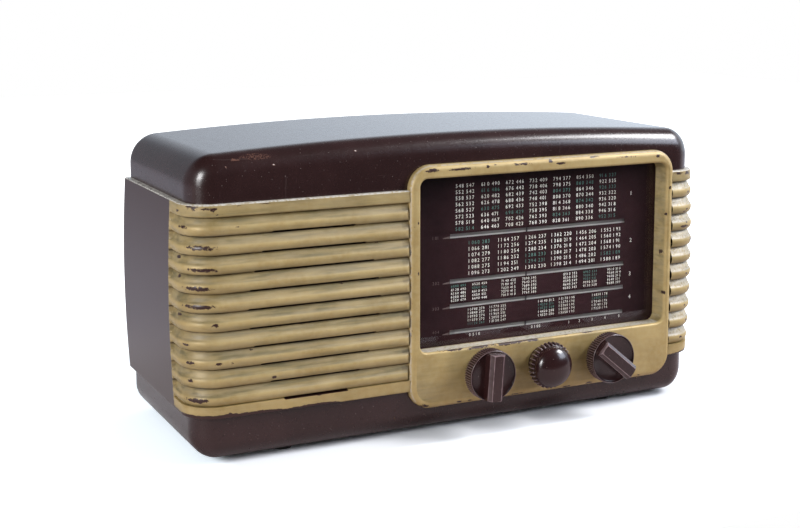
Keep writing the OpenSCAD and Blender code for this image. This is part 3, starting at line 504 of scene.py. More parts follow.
class Effects:
    """Makes each shared effect once."""

    @classmethod
    def tree(cls, effect: Effect) -> bpy.types.NodeTree:
        """Returns the effect's node group, made at its first use.

        Args:
            effect: the effect.

        Returns:
            Its node group.
        """
        found = bpy.data.node_groups.get(effect.value)
        if found:
            return found
        tree = bpy.data.node_groups.new(effect.value, "ShaderNodeTree")
        makers = {Effect.PAINT_WEAR: cls._paint_wear, Effect.DUST: cls._dust, Effect.MOTTLE: cls._mottle,
                  Effect.GRAIN: cls._grain, Effect.SCRATCHES: cls._scratches}
        makers[effect](tree)
        return tree

    @staticmethod
    def _sockets(tree: bpy.types.NodeTree, inputs: dict[str, float], outputs: tuple[str, ...]
                 ) -> tuple[Nodes, bpy.types.Node, bpy.types.Node]:
        """Adds a group's sockets and its end nodes.

        Args:
            tree: the group.
            inputs: the inputs with their starting values.
            outputs: the outputs.

        Returns:
            The group's nodes, its input node and its output node.
        """
        for name, start in inputs.items():
            socket = tree.interface.new_socket(name, in_out="INPUT", socket_type="NodeSocketFloat")
            socket.default_value = start
        for name in outputs:
            tree.interface.new_socket(name, in_out="OUTPUT", socket_type="NodeSocketFloat")
        nodes = Nodes(tree)
        return nodes, nodes.add("NodeGroupInput"), nodes.add("NodeGroupOutput")

    @classmethod
    def _paint_wear(cls, tree: bpy.types.NodeTree) -> None:
        """Paint that is missing where its cover, less the wear and some noise, falls below nothing.

        Args:
            tree: the group.
        """
        n, start, end = cls._sockets(tree, {"Cover": 1.0, "Wear": 0.0}, ("Bare", "Thin"))
        fine = n.math("MULTIPLY", n.math("SUBTRACT", n.noise(1500, 5, (0.6, 1, 1), 0.65), 0.5), 1.5)
        coarse = n.math("MULTIPLY", n.math("SUBTRACT", n.noise(420, 4, (0.6, 1, 1)), 0.5), 1.8)
        ragged = n.math("ADD", fine, coarse)
        edge = n.math("ADD", start.outputs["Cover"], n.math("MULTIPLY", ragged, 1.3))
        chips = n.math("ADD", start.outputs["Wear"], n.math("MULTIPLY", ragged, 0.8))
        chips = n.math("SUBTRACT", chips, 0.72)
        bare = n.math("MAXIMUM", n.fade(edge, 0.12, -0.12), n.fade(chips, -0.02, 0.04))
        n.put(end.inputs["Bare"], bare)
        n.put(end.inputs["Thin"], n.fade(chips, -0.28, 0.0))

    @classmethod
    def _dust(cls, tree: bpy.types.NodeTree) -> None:
        """Small light specks of settled dust.

        Args:
            tree: the group.
        """
        n, start, end = cls._sockets(tree, {"Amount": 0.2, "Scale": 420.0}, ("Specks",))
        cells = n.cells(start.outputs["Scale"])
        size = n.math("MULTIPLY", n.math("POWER", n.noise(370, 2), 2.0), start.outputs["Amount"])
        n.put(end.inputs["Specks"], n.fade(n.math("SUBTRACT", size, cells), -0.02, 0.03))

    @classmethod
    def _mottle(cls, tree: bpy.types.NodeTree) -> None:
        """Broad and fine stains.

        Args:
            tree: the group.
        """
        n, start, end = cls._sockets(tree, {"Scale": 40.0}, ("Broad", "Fine"))
        n.put(end.inputs["Broad"], n.fade(n.noise(start.outputs["Scale"], 5), 0.34, 0.68))
        finer = n.math("MULTIPLY", start.outputs["Scale"], 7.0)
        n.put(end.inputs["Fine"], n.fade(n.noise(finer, 4), 0.36, 0.66))

    @classmethod
    def _grain(cls, tree: bpy.types.NodeTree) -> None:
        """A fine uneven surface."""
        n, start, end = cls._sockets(tree, {"Scale": 1500.0}, ("Height",))
        n.put(end.inputs["Height"], n.noise(start.outputs["Scale"], 5, rough=0.62))

    @classmethod
    def _scratches(cls, tree: bpy.types.NodeTree) -> None:
        """Thin short scratches in two directions.

        Args:
            tree: the group.
        """
        n, start, end = cls._sockets(tree, {"Scale": 60.0}, ("Lines",))
        directions = ((0.35, 1, 7), (6, 1, 0.5))
        lines = [n.fade(n.noise(start.outputs["Scale"], 2, stretch), 0.71, 0.76) for stretch in directions]
        n.put(end.inputs["Lines"], n.math("MAXIMUM", *lines))


class Surface(Nodes):
    """A material with one Principled shader."""

    def __init__(self, name: str) -> None:
        """Makes an empty material.

        Args:
            name: the material's name.
        """
        self.material = bpy.data.materials.new(name)
        self.material.use_nodes = True
        super().__init__(self.material.node_tree)
        self.tree.nodes.clear()
        self.shader = self.add("ShaderNodeBsdfPrincipled")
        self.output = self.add("ShaderNodeOutputMaterial")
        self.tree.links.new(self.shader.outputs[0], self.output.inputs[0])

    def set(self, **inputs: object) -> None:
        """Sets or links the shader's inputs."""
        for key, value in inputs.items():
            self.put(self.shader.inputs[key.replace("_", " ").replace("Ior", "IOR")], value)


# Finishes


@dataclass(frozen=True)
class Recipe:
    """How a finish's material is made."""

    name: str

    def make(self) -> bpy.types.Material:
        """Makes the material.

        Returns:
            The material.
        """
        surface = Surface(self.name)
        self.fill(surface)
        return surface.material

    def fill(self, s: Surface) -> None:
        """Gives a surface its looks, in each finish's own way."""
        raise NotImplementedError


@dataclass(frozen=True)
class Moulding(Recipe):
    """Dark brown moulded plastic with a worn shine, dust, scratches and lighter edges, partly wear and partly
    a painted highlight.
    """

    dark: Colour = srgb(40, 21, 20)
    light: Colour = srgb(52, 31, 30)
    dust: Colour = srgb(176, 165, 160)
    worn: Colour = srgb(158, 136, 138)
    scuff: Colour = srgb(98, 68, 58)
    speck: Colour = srgb(206, 196, 192)
    rough: float = 0.2
    dusty: float = 0.1
    bare_spots: bool = False
    stain_scale: float = 22.0
    stain_share: float = 0.6
    speck_share: float = 0.25
    scratch_share: float = 0.03
    scratch_depth: float = -0.12
    uneven_gloss: float = 0.12
    coat: float = 0.2
    coat_rough: float = 0.16

    def fill(self, s: Surface) -> None:
        """Gives a surface its looks.

        Args:
            s: the surface.
        """
        stain = s.call(Effect.MOTTLE, scale=self.stain_scale)
        colour = s.tint(self.dark, self.light, stain.outputs["Broad"], self.stain_share)
        up = s.fade(s.facing(), 0.85, 1.0)
        cloudy = s.math("MULTIPLY_ADD", stain.outputs["Fine"], 0.22, 0.38)
        film = s.math("MULTIPLY", s.math("MULTIPLY", up, cloudy), self.dusty)
        colour = s.mix(film, colour, self.dust)
        specks = s.call(Effect.DUST, amount=0.3, scale=300.0).outputs["Specks"]
        colour = s.tint(colour, self.dust, specks, self.speck_share)
        lines = s.call(Effect.SCRATCHES, scale=42.0).outputs["Lines"]
        colour = s.tint(colour, self.dust, lines, self.scratch_share)
        # Edges that the mesh marks turn lighter: wear, and a painted highlight along the knobs' rims, crests
        # and bars.
        rubbed_and_glint = s.math("MULTIPLY", s.value("edge"), s.fade(s.noise(240, 3), 0.25, 0.6, 0.35, 0.8))
        colour = s.mix(rubbed_and_glint, colour, self.worn)
        if self.bare_spots:
            mark = s.value("mark")
            marks = s.fade(s.math("ADD", mark, s.math("MULTIPLY", s.noise(800, 4), 0.5)), 0.82, 0.96)
            colour = s.mix(marks, colour, s.mix(s.fade(mark, 0.7, 0.9), self.scuff, self.speck))
        uneven = s.call(Effect.GRAIN, scale=260.0).outputs["Height"]
        rough = s.math("ADD", self.rough, s.math("MULTIPLY", s.math("ADD", uneven, film), self.uneven_gloss))
        height = s.math("ADD", s.math("MULTIPLY", uneven, 0.5), s.math("MULTIPLY", lines, self.scratch_depth))
        s.set(Base_Color=colour, Roughness=rough, Normal=s.bump(height, 0.05, 0.06), Coat_Weight=self.coat,
              Coat_Roughness=self.coat_rough)


@dataclass(frozen=True)
class GoldPaint(Recipe):
    """Old gold paint over brown plastic, worn through on its edges, dirty in its hollows, with painted shade
    and highlights.
    """

    paint: Colour = srgb(190, 164, 108)
    deep: Colour = srgb(172, 145, 90)
    dirt: Colour = srgb(80, 76, 50)
    bloom: Colour = srgb(120, 110, 84)
    soot: Colour = srgb(44, 32, 22)
    rub: Colour = srgb(198, 180, 136)
    bare: Colour = srgb(52, 30, 26)
    pale: Colour = srgb(196, 192, 184)
    stain_scale: float = 30.0
    rub_share: float = 0.25
    speck_share: float = 0.3
    thin_share: float = 0.3
    most_grime: float = 0.92
    soot_from: float = 0.84
    rough: float = 0.38
    bare_rough: float = 0.32
    metal: float = 0.2

    def fill(self, s: Surface) -> None:
        """Gives a surface its looks.

        Args:
            s: the surface.
        """
        wear = s.call(Effect.PAINT_WEAR, cover=s.value("cover"), wear=s.value("wear"))
        bare, thin = wear.outputs["Bare"], wear.outputs["Thin"]
        stain = s.call(Effect.MOTTLE, scale=self.stain_scale)
        colour = s.mix(stain.outputs["Broad"], self.paint, self.deep)
        colour = s.tint(colour, self.rub, stain.outputs["Fine"], self.rub_share)
        streak = s.fade(s.noise(70, 4, (0.3, 1, 4)), 0.35, 0.7)
        # The grime mask is dirt and painted shade together: patina in the coves, and painted shade in
        # grooves, under ribs, beside the knobs and on walls.
        grime = s.math("MULTIPLY", s.value("dirt"), s.math("ADD", 0.6, s.math("MULTIPLY", streak, 0.4)))
        # The grime's colours: patina, darkened further to stand in for the shade of the coves.
        shade = s.mix(s.fade(s.noise(60, 3, (0.4, 1, 2)), 0.42, 0.6), self.bloom, self.dirt)
        # Painted shade: the highest values turn near black brown, in the grooves and the hollows by the
        # frame.
        shade = s.mix(s.fade(s.value("dirt"), self.soot_from, 1.0), shade, self.soot)
        colour = s.mix(s.math("MINIMUM", grime, self.most_grime), colour, shade)
        specks = s.call(Effect.DUST, amount=0.24, scale=300.0).outputs["Specks"]
        colour = s.tint(colour, self.bare, specks, self.speck_share)
        colour = s.tint(colour, self.deep, thin, self.thin_share)
        colour = s.mix(bare, colour, self.bare)
        # Pale dust and patina, with a painted highlight on the frame's rim and the top lip's rounding, and a
        # painted sheen on the right band's ribs.
        pale = s.math("MULTIPLY", s.value("pale"), s.fade(s.noise(420, 4), 0.30, 0.55))
        colour = s.mix(pale, colour, self.pale)
        uneven = s.call(Effect.GRAIN, scale=1100.0).outputs["Height"]
        rough = s.math("ADD", self.rough, s.math("MULTIPLY", uneven, 0.2))
        height = s.math("SUBTRACT", s.math("MULTIPLY", uneven, 0.25), bare)
        rough = s.mix_number(bare, rough, self.bare_rough)
        clean = s.math("SUBTRACT", 1.0, s.math("MAXIMUM", bare, grime))
        s.set(Base_Color=colour, Roughness=rough, Metallic=s.math("MULTIPLY", clean, self.metal),
              Normal=s.bump(height, 0.5, 0.12))


@dataclass(frozen=True)
class Stock(Recipe):
    """A plain material of an inner part: stained, uneven and a little dusty."""

    colour: Colour
    stain: Colour
    rough: float = 0.5
    metal: float = 0.0
    scale: float = 60.0
    grain: float = 900.0
    relief: float = 0.25
    stretch: Stretch = (1, 1, 1)
    coat: float = 0.0
    dust: Colour = srgb(150, 142, 130)

    def fill(self, s: Surface) -> None:
        """Gives a surface its looks.

        Args:
            s: the surface.
        """
        broad = s.fade(s.noise(self.scale, 5, self.stretch), 0.34, 0.68)
        fine = s.noise(self.grain, 4, self.stretch)
        colour = s.mix(broad, self.colour, self.stain)
        colour = s.mix(s.fade(fine, 0.45, 0.75, 0.0, 0.35), colour, self.stain)
        colour = s.tint(colour, self.dust, s.fade(s.facing(), 0.6, 1.0), 0.18)
        s.set(Base_Color=colour, Roughness=s.math("ADD", self.rough, s.math("MULTIPLY", fine, 0.18)),
              Metallic=self.metal, Coat_Weight=self.coat, Normal=s.bump(fine, self.relief, 0.1))


@dataclass(frozen=True)
class Cloth(Recipe):
    """A plain woven cloth."""

    warp: Colour
    weft: Colour
    pitch: float = 1.1
    grime: Colour = srgb(40, 34, 28)
    # The wave texture's own measure: its bands lie 2 pi / 20 of a unit apart at a scale of 1.
    wave_unit: float = 2 * math.pi / 20

    def fill(self, s: Surface) -> None:
        """Gives a surface its looks.

        Args:
            s: the surface.
        """
        waves = []
        for direction in ("X", "Z"):
            wave = s.add("ShaderNodeTexWave", bands_direction=direction)
            s.put(wave.inputs["Vector"], s.place())
            s.put(wave.inputs["Scale"], self.wave_unit / (self.pitch * MM))
            s.put(wave.inputs["Distortion"], 0.4)
            waves.append(wave.outputs["Fac"])
        over = s.math("MULTIPLY", waves[0], waves[1])
        fuzz = s.noise(1800, 3)
        colour = s.mix(s.fade(over, 0.1, 0.7), self.warp, self.weft)
        colour = s.tint(colour, self.grime, fuzz, 0.3)
        s.set(Base_Color=colour, Roughness=0.9, Normal=s.bump(s.math("ADD", over, fuzz), 0.6, 0.3))


@dataclass(frozen=True)
class Pane(Recipe):
    """Clear glass that lets light through to what lies behind it."""

    tint: Colour = (0.95, 0.97, 0.96)
    ior: float = 1.3

    def fill(self, s: Surface) -> None:
        """Gives a surface its looks.

        Args:
            s: the surface.
        """
        s.set(Base_Color=self.tint, Transmission_Weight=1.0, Metallic=0.0, Ior=self.ior, Roughness=0.0)
        clear = s.add("ShaderNodeBsdfTransparent")
        blend = s.add("ShaderNodeMixShader")
        s.put(blend.inputs[0], s.add("ShaderNodeLightPath").outputs["Is Shadow Ray"])
        s.put(blend.inputs[1], s.shader.outputs[0])
        s.put(blend.inputs[2], clear.outputs[0])
        s.put(s.output.inputs[0], blend.outputs[0])


@dataclass(frozen=True)
class Ink(Recipe):
    """Printed ink on the back of the dial glass."""

    colour: Colour
    worn: Colour
    rough: float = 0.6

    def fill(self, s: Surface) -> None:
        """Gives a surface its looks.

        Args:
            s: the surface.
        """
        stain = s.call(Effect.MOTTLE, scale=45.0)
        colour = s.tint(self.colour, self.worn, stain.outputs["Broad"], 0.55)
        colour = s.tint(colour, self.worn, stain.outputs["Fine"], 0.4)
        s.set(Base_Color=colour, Roughness=self.rough, Specular_Ior_Level=0.05)


@dataclass(frozen=True)
class Ledge(Recipe):
    """Streaked grey metal behind the openings of the dial's bars, with a painted highlight along its lower
    edge.
    """

    grey: Colour = srgb(112, 106, 102)
    pale: Colour = srgb(176, 170, 166)
    dark: Colour = srgb(72, 66, 64)

    def fill(self, s: Surface) -> None:
        """Gives a surface its looks.

        Args:
            s: the surface.
        """
        streaks = s.fade(s.noise(160, 4, (0.12, 1, 5)), 0.36, 0.68)
        colour = s.mix(streaks, self.dark, self.grey)
        colour = s.mix(s.value("shine"), colour, self.pale)
        s.set(Base_Color=colour, Roughness=0.45)


class Finish(Enum):
    """Every finish of the receiver."""

    CABINET = Moulding("CabinetMoulding", bare_spots=True)
    KNOB = Moulding("KnobMoulding", srgb(38, 18, 18), srgb(54, 30, 29), rough=0.16, dusty=0.12)
    SOCKET = Moulding("SocketMoulding", srgb(40, 26, 20), srgb(62, 44, 34), rough=0.42)
    GOLD = GoldPaint("GoldPaint")
    GLASS = Pane("DialGlass")
    BULB = Pane("BulbGlass", (0.98, 0.96, 0.9))
    FIELD = Ink("DialField", srgb(38, 19, 21), srgb(47, 27, 29))
    WHITE_INK = Ink("WhiteInk", srgb(250, 246, 238), srgb(206, 198, 182))
    GREEN_INK = Ink("GreenInk", srgb(94, 134, 124), srgb(62, 92, 86))
    DIM_INK = Ink("DimInk", srgb(116, 100, 96), srgb(78, 62, 60))
    LEDGE = Ledge("BarLedge")
    CLOTH = Cloth("SpeakerCloth", srgb(88, 70, 46), srgb(122, 100, 68))
    SPIDER = Cloth("SpiderCloth", srgb(150, 110, 52), srgb(184, 142, 76), 1.4)
    STEEL = Stock("ScrewSteel", srgb(150, 148, 144), srgb(98, 92, 86), 0.32, 0.9, 200)
    SHAFT = Stock("ShaftSteel", srgb(168, 166, 160), srgb(120, 116, 110), 0.28, 0.95, 120,
                  stretch=(3, 0.4, 3))
    BOARD = Stock("BaffleBoard", srgb(150, 122, 84), srgb(118, 92, 60), 0.75, 0, 90, 500, 0.4)
    BACK = Stock("BackBoard", srgb(92, 64, 42), srgb(66, 44, 28), 0.6, 0, 160, 1300, 0.55, (1, 1, 1.6))
    RUBBER = Stock("SoftRubber", srgb(30, 28, 27), srgb(48, 46, 44), 0.75, 0, 140, 900, 0.4)
    CREAM = Stock("CreamPaint", srgb(216, 208, 186), srgb(184, 172, 146), 0.42, 0, 60, 700, 0.2)
    BRASS = Stock("BrassParts", srgb(178, 146, 82), srgb(124, 98, 56), 0.34, 0.9, 150)
    NEEDLE = Stock("NeedlePaint", srgb(26, 22, 22), srgb(44, 38, 38), 0.4)
    CORD = Stock("CordThread", srgb(196, 184, 150), srgb(150, 138, 108), 0.9, 0, 500, 2600, 0.8)
    PALE = Stock("PalePlastic", srgb(206, 198, 178), srgb(170, 158, 132), 0.4)
    LIGHT = Stock("LightMetal", srgb(186, 186, 184), srgb(140, 140, 138), 0.34, 0.9, 110)
    CHASSIS = Stock("ChassisPlate", srgb(164, 160, 148), srgb(112, 106, 94), 0.38, 0.85, 45)
    LAMINATE = Stock("BrownLaminate", srgb(120, 84, 46), srgb(92, 62, 32), 0.35, 0, 80, 900, 0.2, coat=0.3)
    CORE = Stock("CorePaint", srgb(64, 64, 64), srgb(44, 42, 40), 0.5, 0.5, 300, 1200, 0.5, (6, 1, 1))
    WINDING = Stock("CoilPaper", srgb(168, 126, 70), srgb(124, 88, 46), 0.6, 0, 90, 1000, 0.3)
    VALVE = Stock("ValveGlass", srgb(58, 60, 62), srgb(88, 90, 92), 0.08, 0.25, 70, 700, 0.05, coat=0.8)
    CAN = Stock("CanMetal", srgb(184, 184, 182), srgb(146, 146, 144), 0.3, 0.95, 90, stretch=(1, 1, 0.3))
    TUBE = Stock("FormerTube", srgb(150, 108, 60), srgb(112, 78, 42), 0.45, 0, 120, coat=0.2)
    BASKET = Stock("BasketPaint", srgb(60, 60, 60), srgb(42, 40, 38), 0.42, 0.2, 140)
    MAGNET = Stock("MagnetMetal", srgb(104, 102, 98), srgb(74, 70, 66), 0.5, 0.6, 140)
    CONE = Stock("ConePaper", srgb(70, 62, 54), srgb(50, 44, 38), 0.85, 0, 220, 1500, 0.6)
    SOFT_PAPER = Stock("SoftPaper", srgb(62, 54, 46), srgb(44, 38, 32), 0.9, 0, 260, 1800, 0.6)
    WIRE = Stock("CoilWire", srgb(150, 84, 48), srgb(110, 58, 32), 0.35, 0.6, 300, 2200, 0.5, (1, 8, 1))
    FELT = Stock("Felt", srgb(72, 70, 60), srgb(52, 50, 42), 0.95, 0, 400, 2600, 0.8)

    def get(self) -> bpy.types.Material:
        """Returns the finish's material, made at its first use."""
        return bpy.data.materials.get(self.value.name) or self.value.make()


def put_in(piece: bpy.types.Object, body: str, slot: str, *nodes: str) -> bpy.types.Object:
    """Lets a piece ride a body, and hides the nodes that it stands for.

    Args:
        piece: the piece.
        body: the body that it rides.
        slot: its material slot; not used.
        nodes: the CAD nodes that it stands for, if any.

    Returns:
        The same piece.
    """
    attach(piece, body)
    if nodes:
        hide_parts(*nodes)
    log.info("built %s", piece.name)
    return piece


# Cabinet


@dataclass(frozen=True)
class CabinetSizes:
    """The cabinet moulding's sizes in millimetres.

    The ribbed band lies between the heights low and high. It stands out by out at its edges and by bow
    more in its middle. Its ribs are cut in by deep between its lips, and wrap round the corner.
    """

    width: float = 480
    depth: float = 175
    height: float = 247
    crown: float = 7
    wall: float = 4
    top_r: float = 25
    bottom_r: float = 22
    corner_r: float = 22
    edge_r: float = 17
    low: float = 37.5
    high: float = 209
    out: float = 5
    bow: float = 3
    lip: float = 9.8
    ribs: int = 10
    deep: float = 4.6
    wrap: float = 38
    slot_h: float = 2.1
    slot_len: float = 116
    slot_taper: float = 0.022
    speaker_x: float = -139

    @property
    def pitch(self) -> float:
        """The distance from rib to rib."""
        return (self.high - self.low - 2 * self.lip) / self.ribs

    def rib_z(self, k: float) -> float:
        """The height of a rib's lower edge, counted from the top."""
        return self.high - self.lip - k * self.pitch

    def stand(self, z: np.ndarray) -> np.ndarray:
        """How far the band stands out at a height."""
        middle, half = (self.low + self.high) / 2, (self.high - self.low) / 2
        return self.out + self.bow * (1 - ((z - middle) / half) ** 2)

    def slot_half(self, k: float) -> float:
        """Half the length of a sound slot, counted from the top."""
        return self.slot_len / 2 * (1 - self.slot_taper * (k - (self.ribs + 0.3) / 2) ** 2)


CAB = CabinetSizes()


@dataclass(frozen=True)
class FrameSizes:
    """The dial frame's sizes in millimetres, with its opening and the knobs' places."""

    left: float = -54.3
    right: float = 212
    low: float = 21
    high: float = 229.2
    radius: float = 20
    edge: float = 5
    out: float = 8
    open_left: float = -45.5
    open_right: float = 201.8
    open_low: float = 70
    open_high: float = 218
    open_r: float = 7
    deep: float = 7
    knobs_x: tuple[float, ...] = (12.5, 73.5, 134.5)
    shaft_z: float = 49.5


FRAME = FrameSizes()


# The distance inside the painted part, in millimetres, of a point that is painted for certain.
COVERED = 9.0


class CabinetShell:
    """The cap, base and sides, as one hollow moulding."""

    SPEAKER_X, SPEAKER_Z = (-202, -76), (43, 189)
    SHAFT_HOLE = 5
    WINDOW_GAP, WINDOW_ROUND = 3.3, 3
    SCUFF_DEPTH = 30
    SCUFFS = (
        Spot(-185, 243.6, 19, 3.6, 0.61), Spot(-191, 224, 6, 1.0, 0.7), Spot(-203, 242, 5, 1.4, 0.7),
        Spot(-211.7, 236.9, 1.2, 1.2), Spot(-172.2, 236.8, 1.3, 1.1), Spot(-109.1, 248.6, 1.1, 0.9),
        Spot(-100.2, 243.9, 0.9, 0.9), Spot(-51.1, 243.6, 0.9, 0.8), Spot(-170.5, 221.1, 1.0, 1.0))

    def __init__(self, drawing: Drawing, sizes: CabinetSizes = CAB) -> None:
        """Keeps the sizes and draws the front outline."""
        self.drawing, self.sizes = drawing, sizes
        self.points, self.normals = self.outline()

    def outline(self) -> tuple[np.ndarray, np.ndarray]:
        """Draws the front outline, and its outward normals, as x and z.

        Returns:
            The outline and its normals.
        """
        s = self.sizes
        half, top = s.width / 2, s.height + s.crown
        reach = half - s.top_r
        crown_r = (reach ** 2 + s.crown ** 2) / (2 * s.crown)
        lean = math.asin(reach / crown_r)
        shape = Outline()
        shape.line((-half + s.bottom_r, 0), (half - s.bottom_r, 0), 60, (0, -1))
        shape.arc((half - s.bottom_r, s.bottom_r), s.bottom_r, -QUARTER, 0, 20)
        shape.line((half, s.bottom_r), (half, s.height - s.top_r), 60, (1, 0))
        shape.arc((reach, s.height - s.top_r), s.top_r, 0, QUARTER - lean, 26)
        shape.arc((0, top - crown_r), crown_r, QUARTER - lean, QUARTER + lean, 120)
        shape.arc((-reach, s.height - s.top_r), s.top_r, QUARTER + lean, 2 * QUARTER, 26)
        shape.line((-half, s.height - s.top_r), (-half, s.bottom_r), 60, (-1, 0))
        shape.arc((-half + s.bottom_r, s.bottom_r), s.bottom_r, 2 * QUARTER, 3 * QUARTER, 20)
        return shape.arrays()

    def ring(self, inset: np.ndarray | float, y: np.ndarray | float) -> np.ndarray:
        """Returns the outline drawn in by a distance, at a depth."""
        at = self.points - self.normals * np.broadcast_to(inset, len(self.points))[:, None]
        return np.stack([at[:, 0], np.broadcast_to(y, len(at)), at[:, 1]], -1)

    def marks(self, points: np.ndarray) -> np.ndarray:
        """Says how strong the cap's scuffs and specks are at each point."""
        return worn(self.SCUFFS, points[..., 0], points[..., 2]) * (points[..., 1] < self.SCUFF_DEPTH)

    def build(self) -> bpy.types.Object:
        """Builds the shell.

        Returns:
            The piece.
        """
        s = self.sizes
        edge = s.edge_r + (s.corner_r - 0.5 - s.edge_r) * self.normals[:, 0] ** 2
        rings = [self.ring(edge + 2, 0.0)]
        for t in np.linspace(QUARTER, 0, 19):
            rings.append(self.ring(edge * (1 - math.cos(t)), edge * (1 - math.sin(t))))
        rings += [self.ring(0, edge + (s.depth - 1 - edge) * t) for t in np.linspace(0.03, 1, 34)]
        rear = ((0.3, 0.3), (1, 0), (s.wall - 0.8, 0), (s.wall - 0.2, 0.3), (s.wall, 1))
        rings += [self.ring(inset, s.depth - ahead) for inset, ahead in rear]
        inner = edge - s.wall
        rings += [self.ring(s.wall, s.depth - 1 + (edge + 1 - s.depth) * t) for t in (0.3, 0.6, 1.0)]
        for t in np.linspace(0.3, QUARTER, 6):
            rings.append(self.ring(s.wall + inner * (1 - math.cos(t)), s.wall + inner * (1 - math.sin(t))))
        mesh = MeshBuilder(self.drawing)
        points = np.stack(rings)
        mesh.grid(points, wrap_columns=True, mark=self.marks(points))
        window = self.window(0.0)
        shafts = [circle(x, 0.0, FRAME.shaft_z, self.SHAFT_HOLE) for x in FRAME.knobs_x]
        (left, right), (low, high) = self.SPEAKER_X, self.SPEAKER_Z
        speaker = np.array([(x, 0.0, z) for x, z in ((left, low), (right, low), (right, high), (left, high))])
        mesh.flat([rings[0], window, speaker, *shafts])
        back = np.array([0, s.wall, 0])
        mesh.flat([rings[-1], window + back, speaker + back, *[c + back for c in shafts]])
        for hole in (window, *shafts):
            mesh.grid(np.stack([hole, hole + back]), wrap_columns=True)
        piece = mesh.piece("cabinet_shell", Finish.CABINET.get(), 32)
        return put_in(piece, "case", "case_moulding", "cabinet")

    def window(self, y: float) -> np.ndarray:
        """Returns the outline of the hole behind the dial.

        Args:
            y: its depth.

        Returns:
            Its points.
        """
        f, gap = FRAME, self.WINDOW_GAP
        flat, _ = rounded_outline(f.open_left - gap, f.open_right + gap, f.open_low - gap, f.open_high + gap,
                                  f.open_r + self.WINDOW_ROUND, 12, 8, 8)
        return np.stack([flat[:, 0], np.full(len(flat), y), flat[:, 1]], -1)


# From a rib's lower edge (0) to the next rib's (1): the height against the band's face in millimetres,
# and the share of dirt and painted shade: painted shade in the grooves and on the rib's underside, patina in
# the cove.
RIB_DEPTHS = (
    (0, -3.2), (0.015, -2.5), (0.05, -1.75), (0.1, -1.1), (0.16, -0.62), (0.23, -0.26), (0.3, -0.06),
    (0.37, 0.0), (0.44, -0.1), (0.5, -0.38), (0.55, -0.85), (0.59, -1.35), (0.63, -1.75), (0.69, -2.1),
    (0.76, -2.5), (0.83, -3.0), (0.9, -3.6), (0.96, -4.3), (1.0, -4.6))
RIB_DIRT_AND_SHADE = (
    (0, 1.0), (0.02, 1.0), (0.05, 0.85), (0.09, 0.62), (0.2, 0.56), (0.3, 0.46), (0.4, 0.26), (0.48, 0.3),
    (0.54, 0.74), (0.6, 0.84), (0.74, 0.83), (0.88, 0.84), (0.94, 0.9), (0.965, 1.0), (1.0, 1.0))


class BandSide(Enum):
    """Which end of the cabinet a part of the ribbed band covers."""

    LEFT = -1
    RIGHT = 1


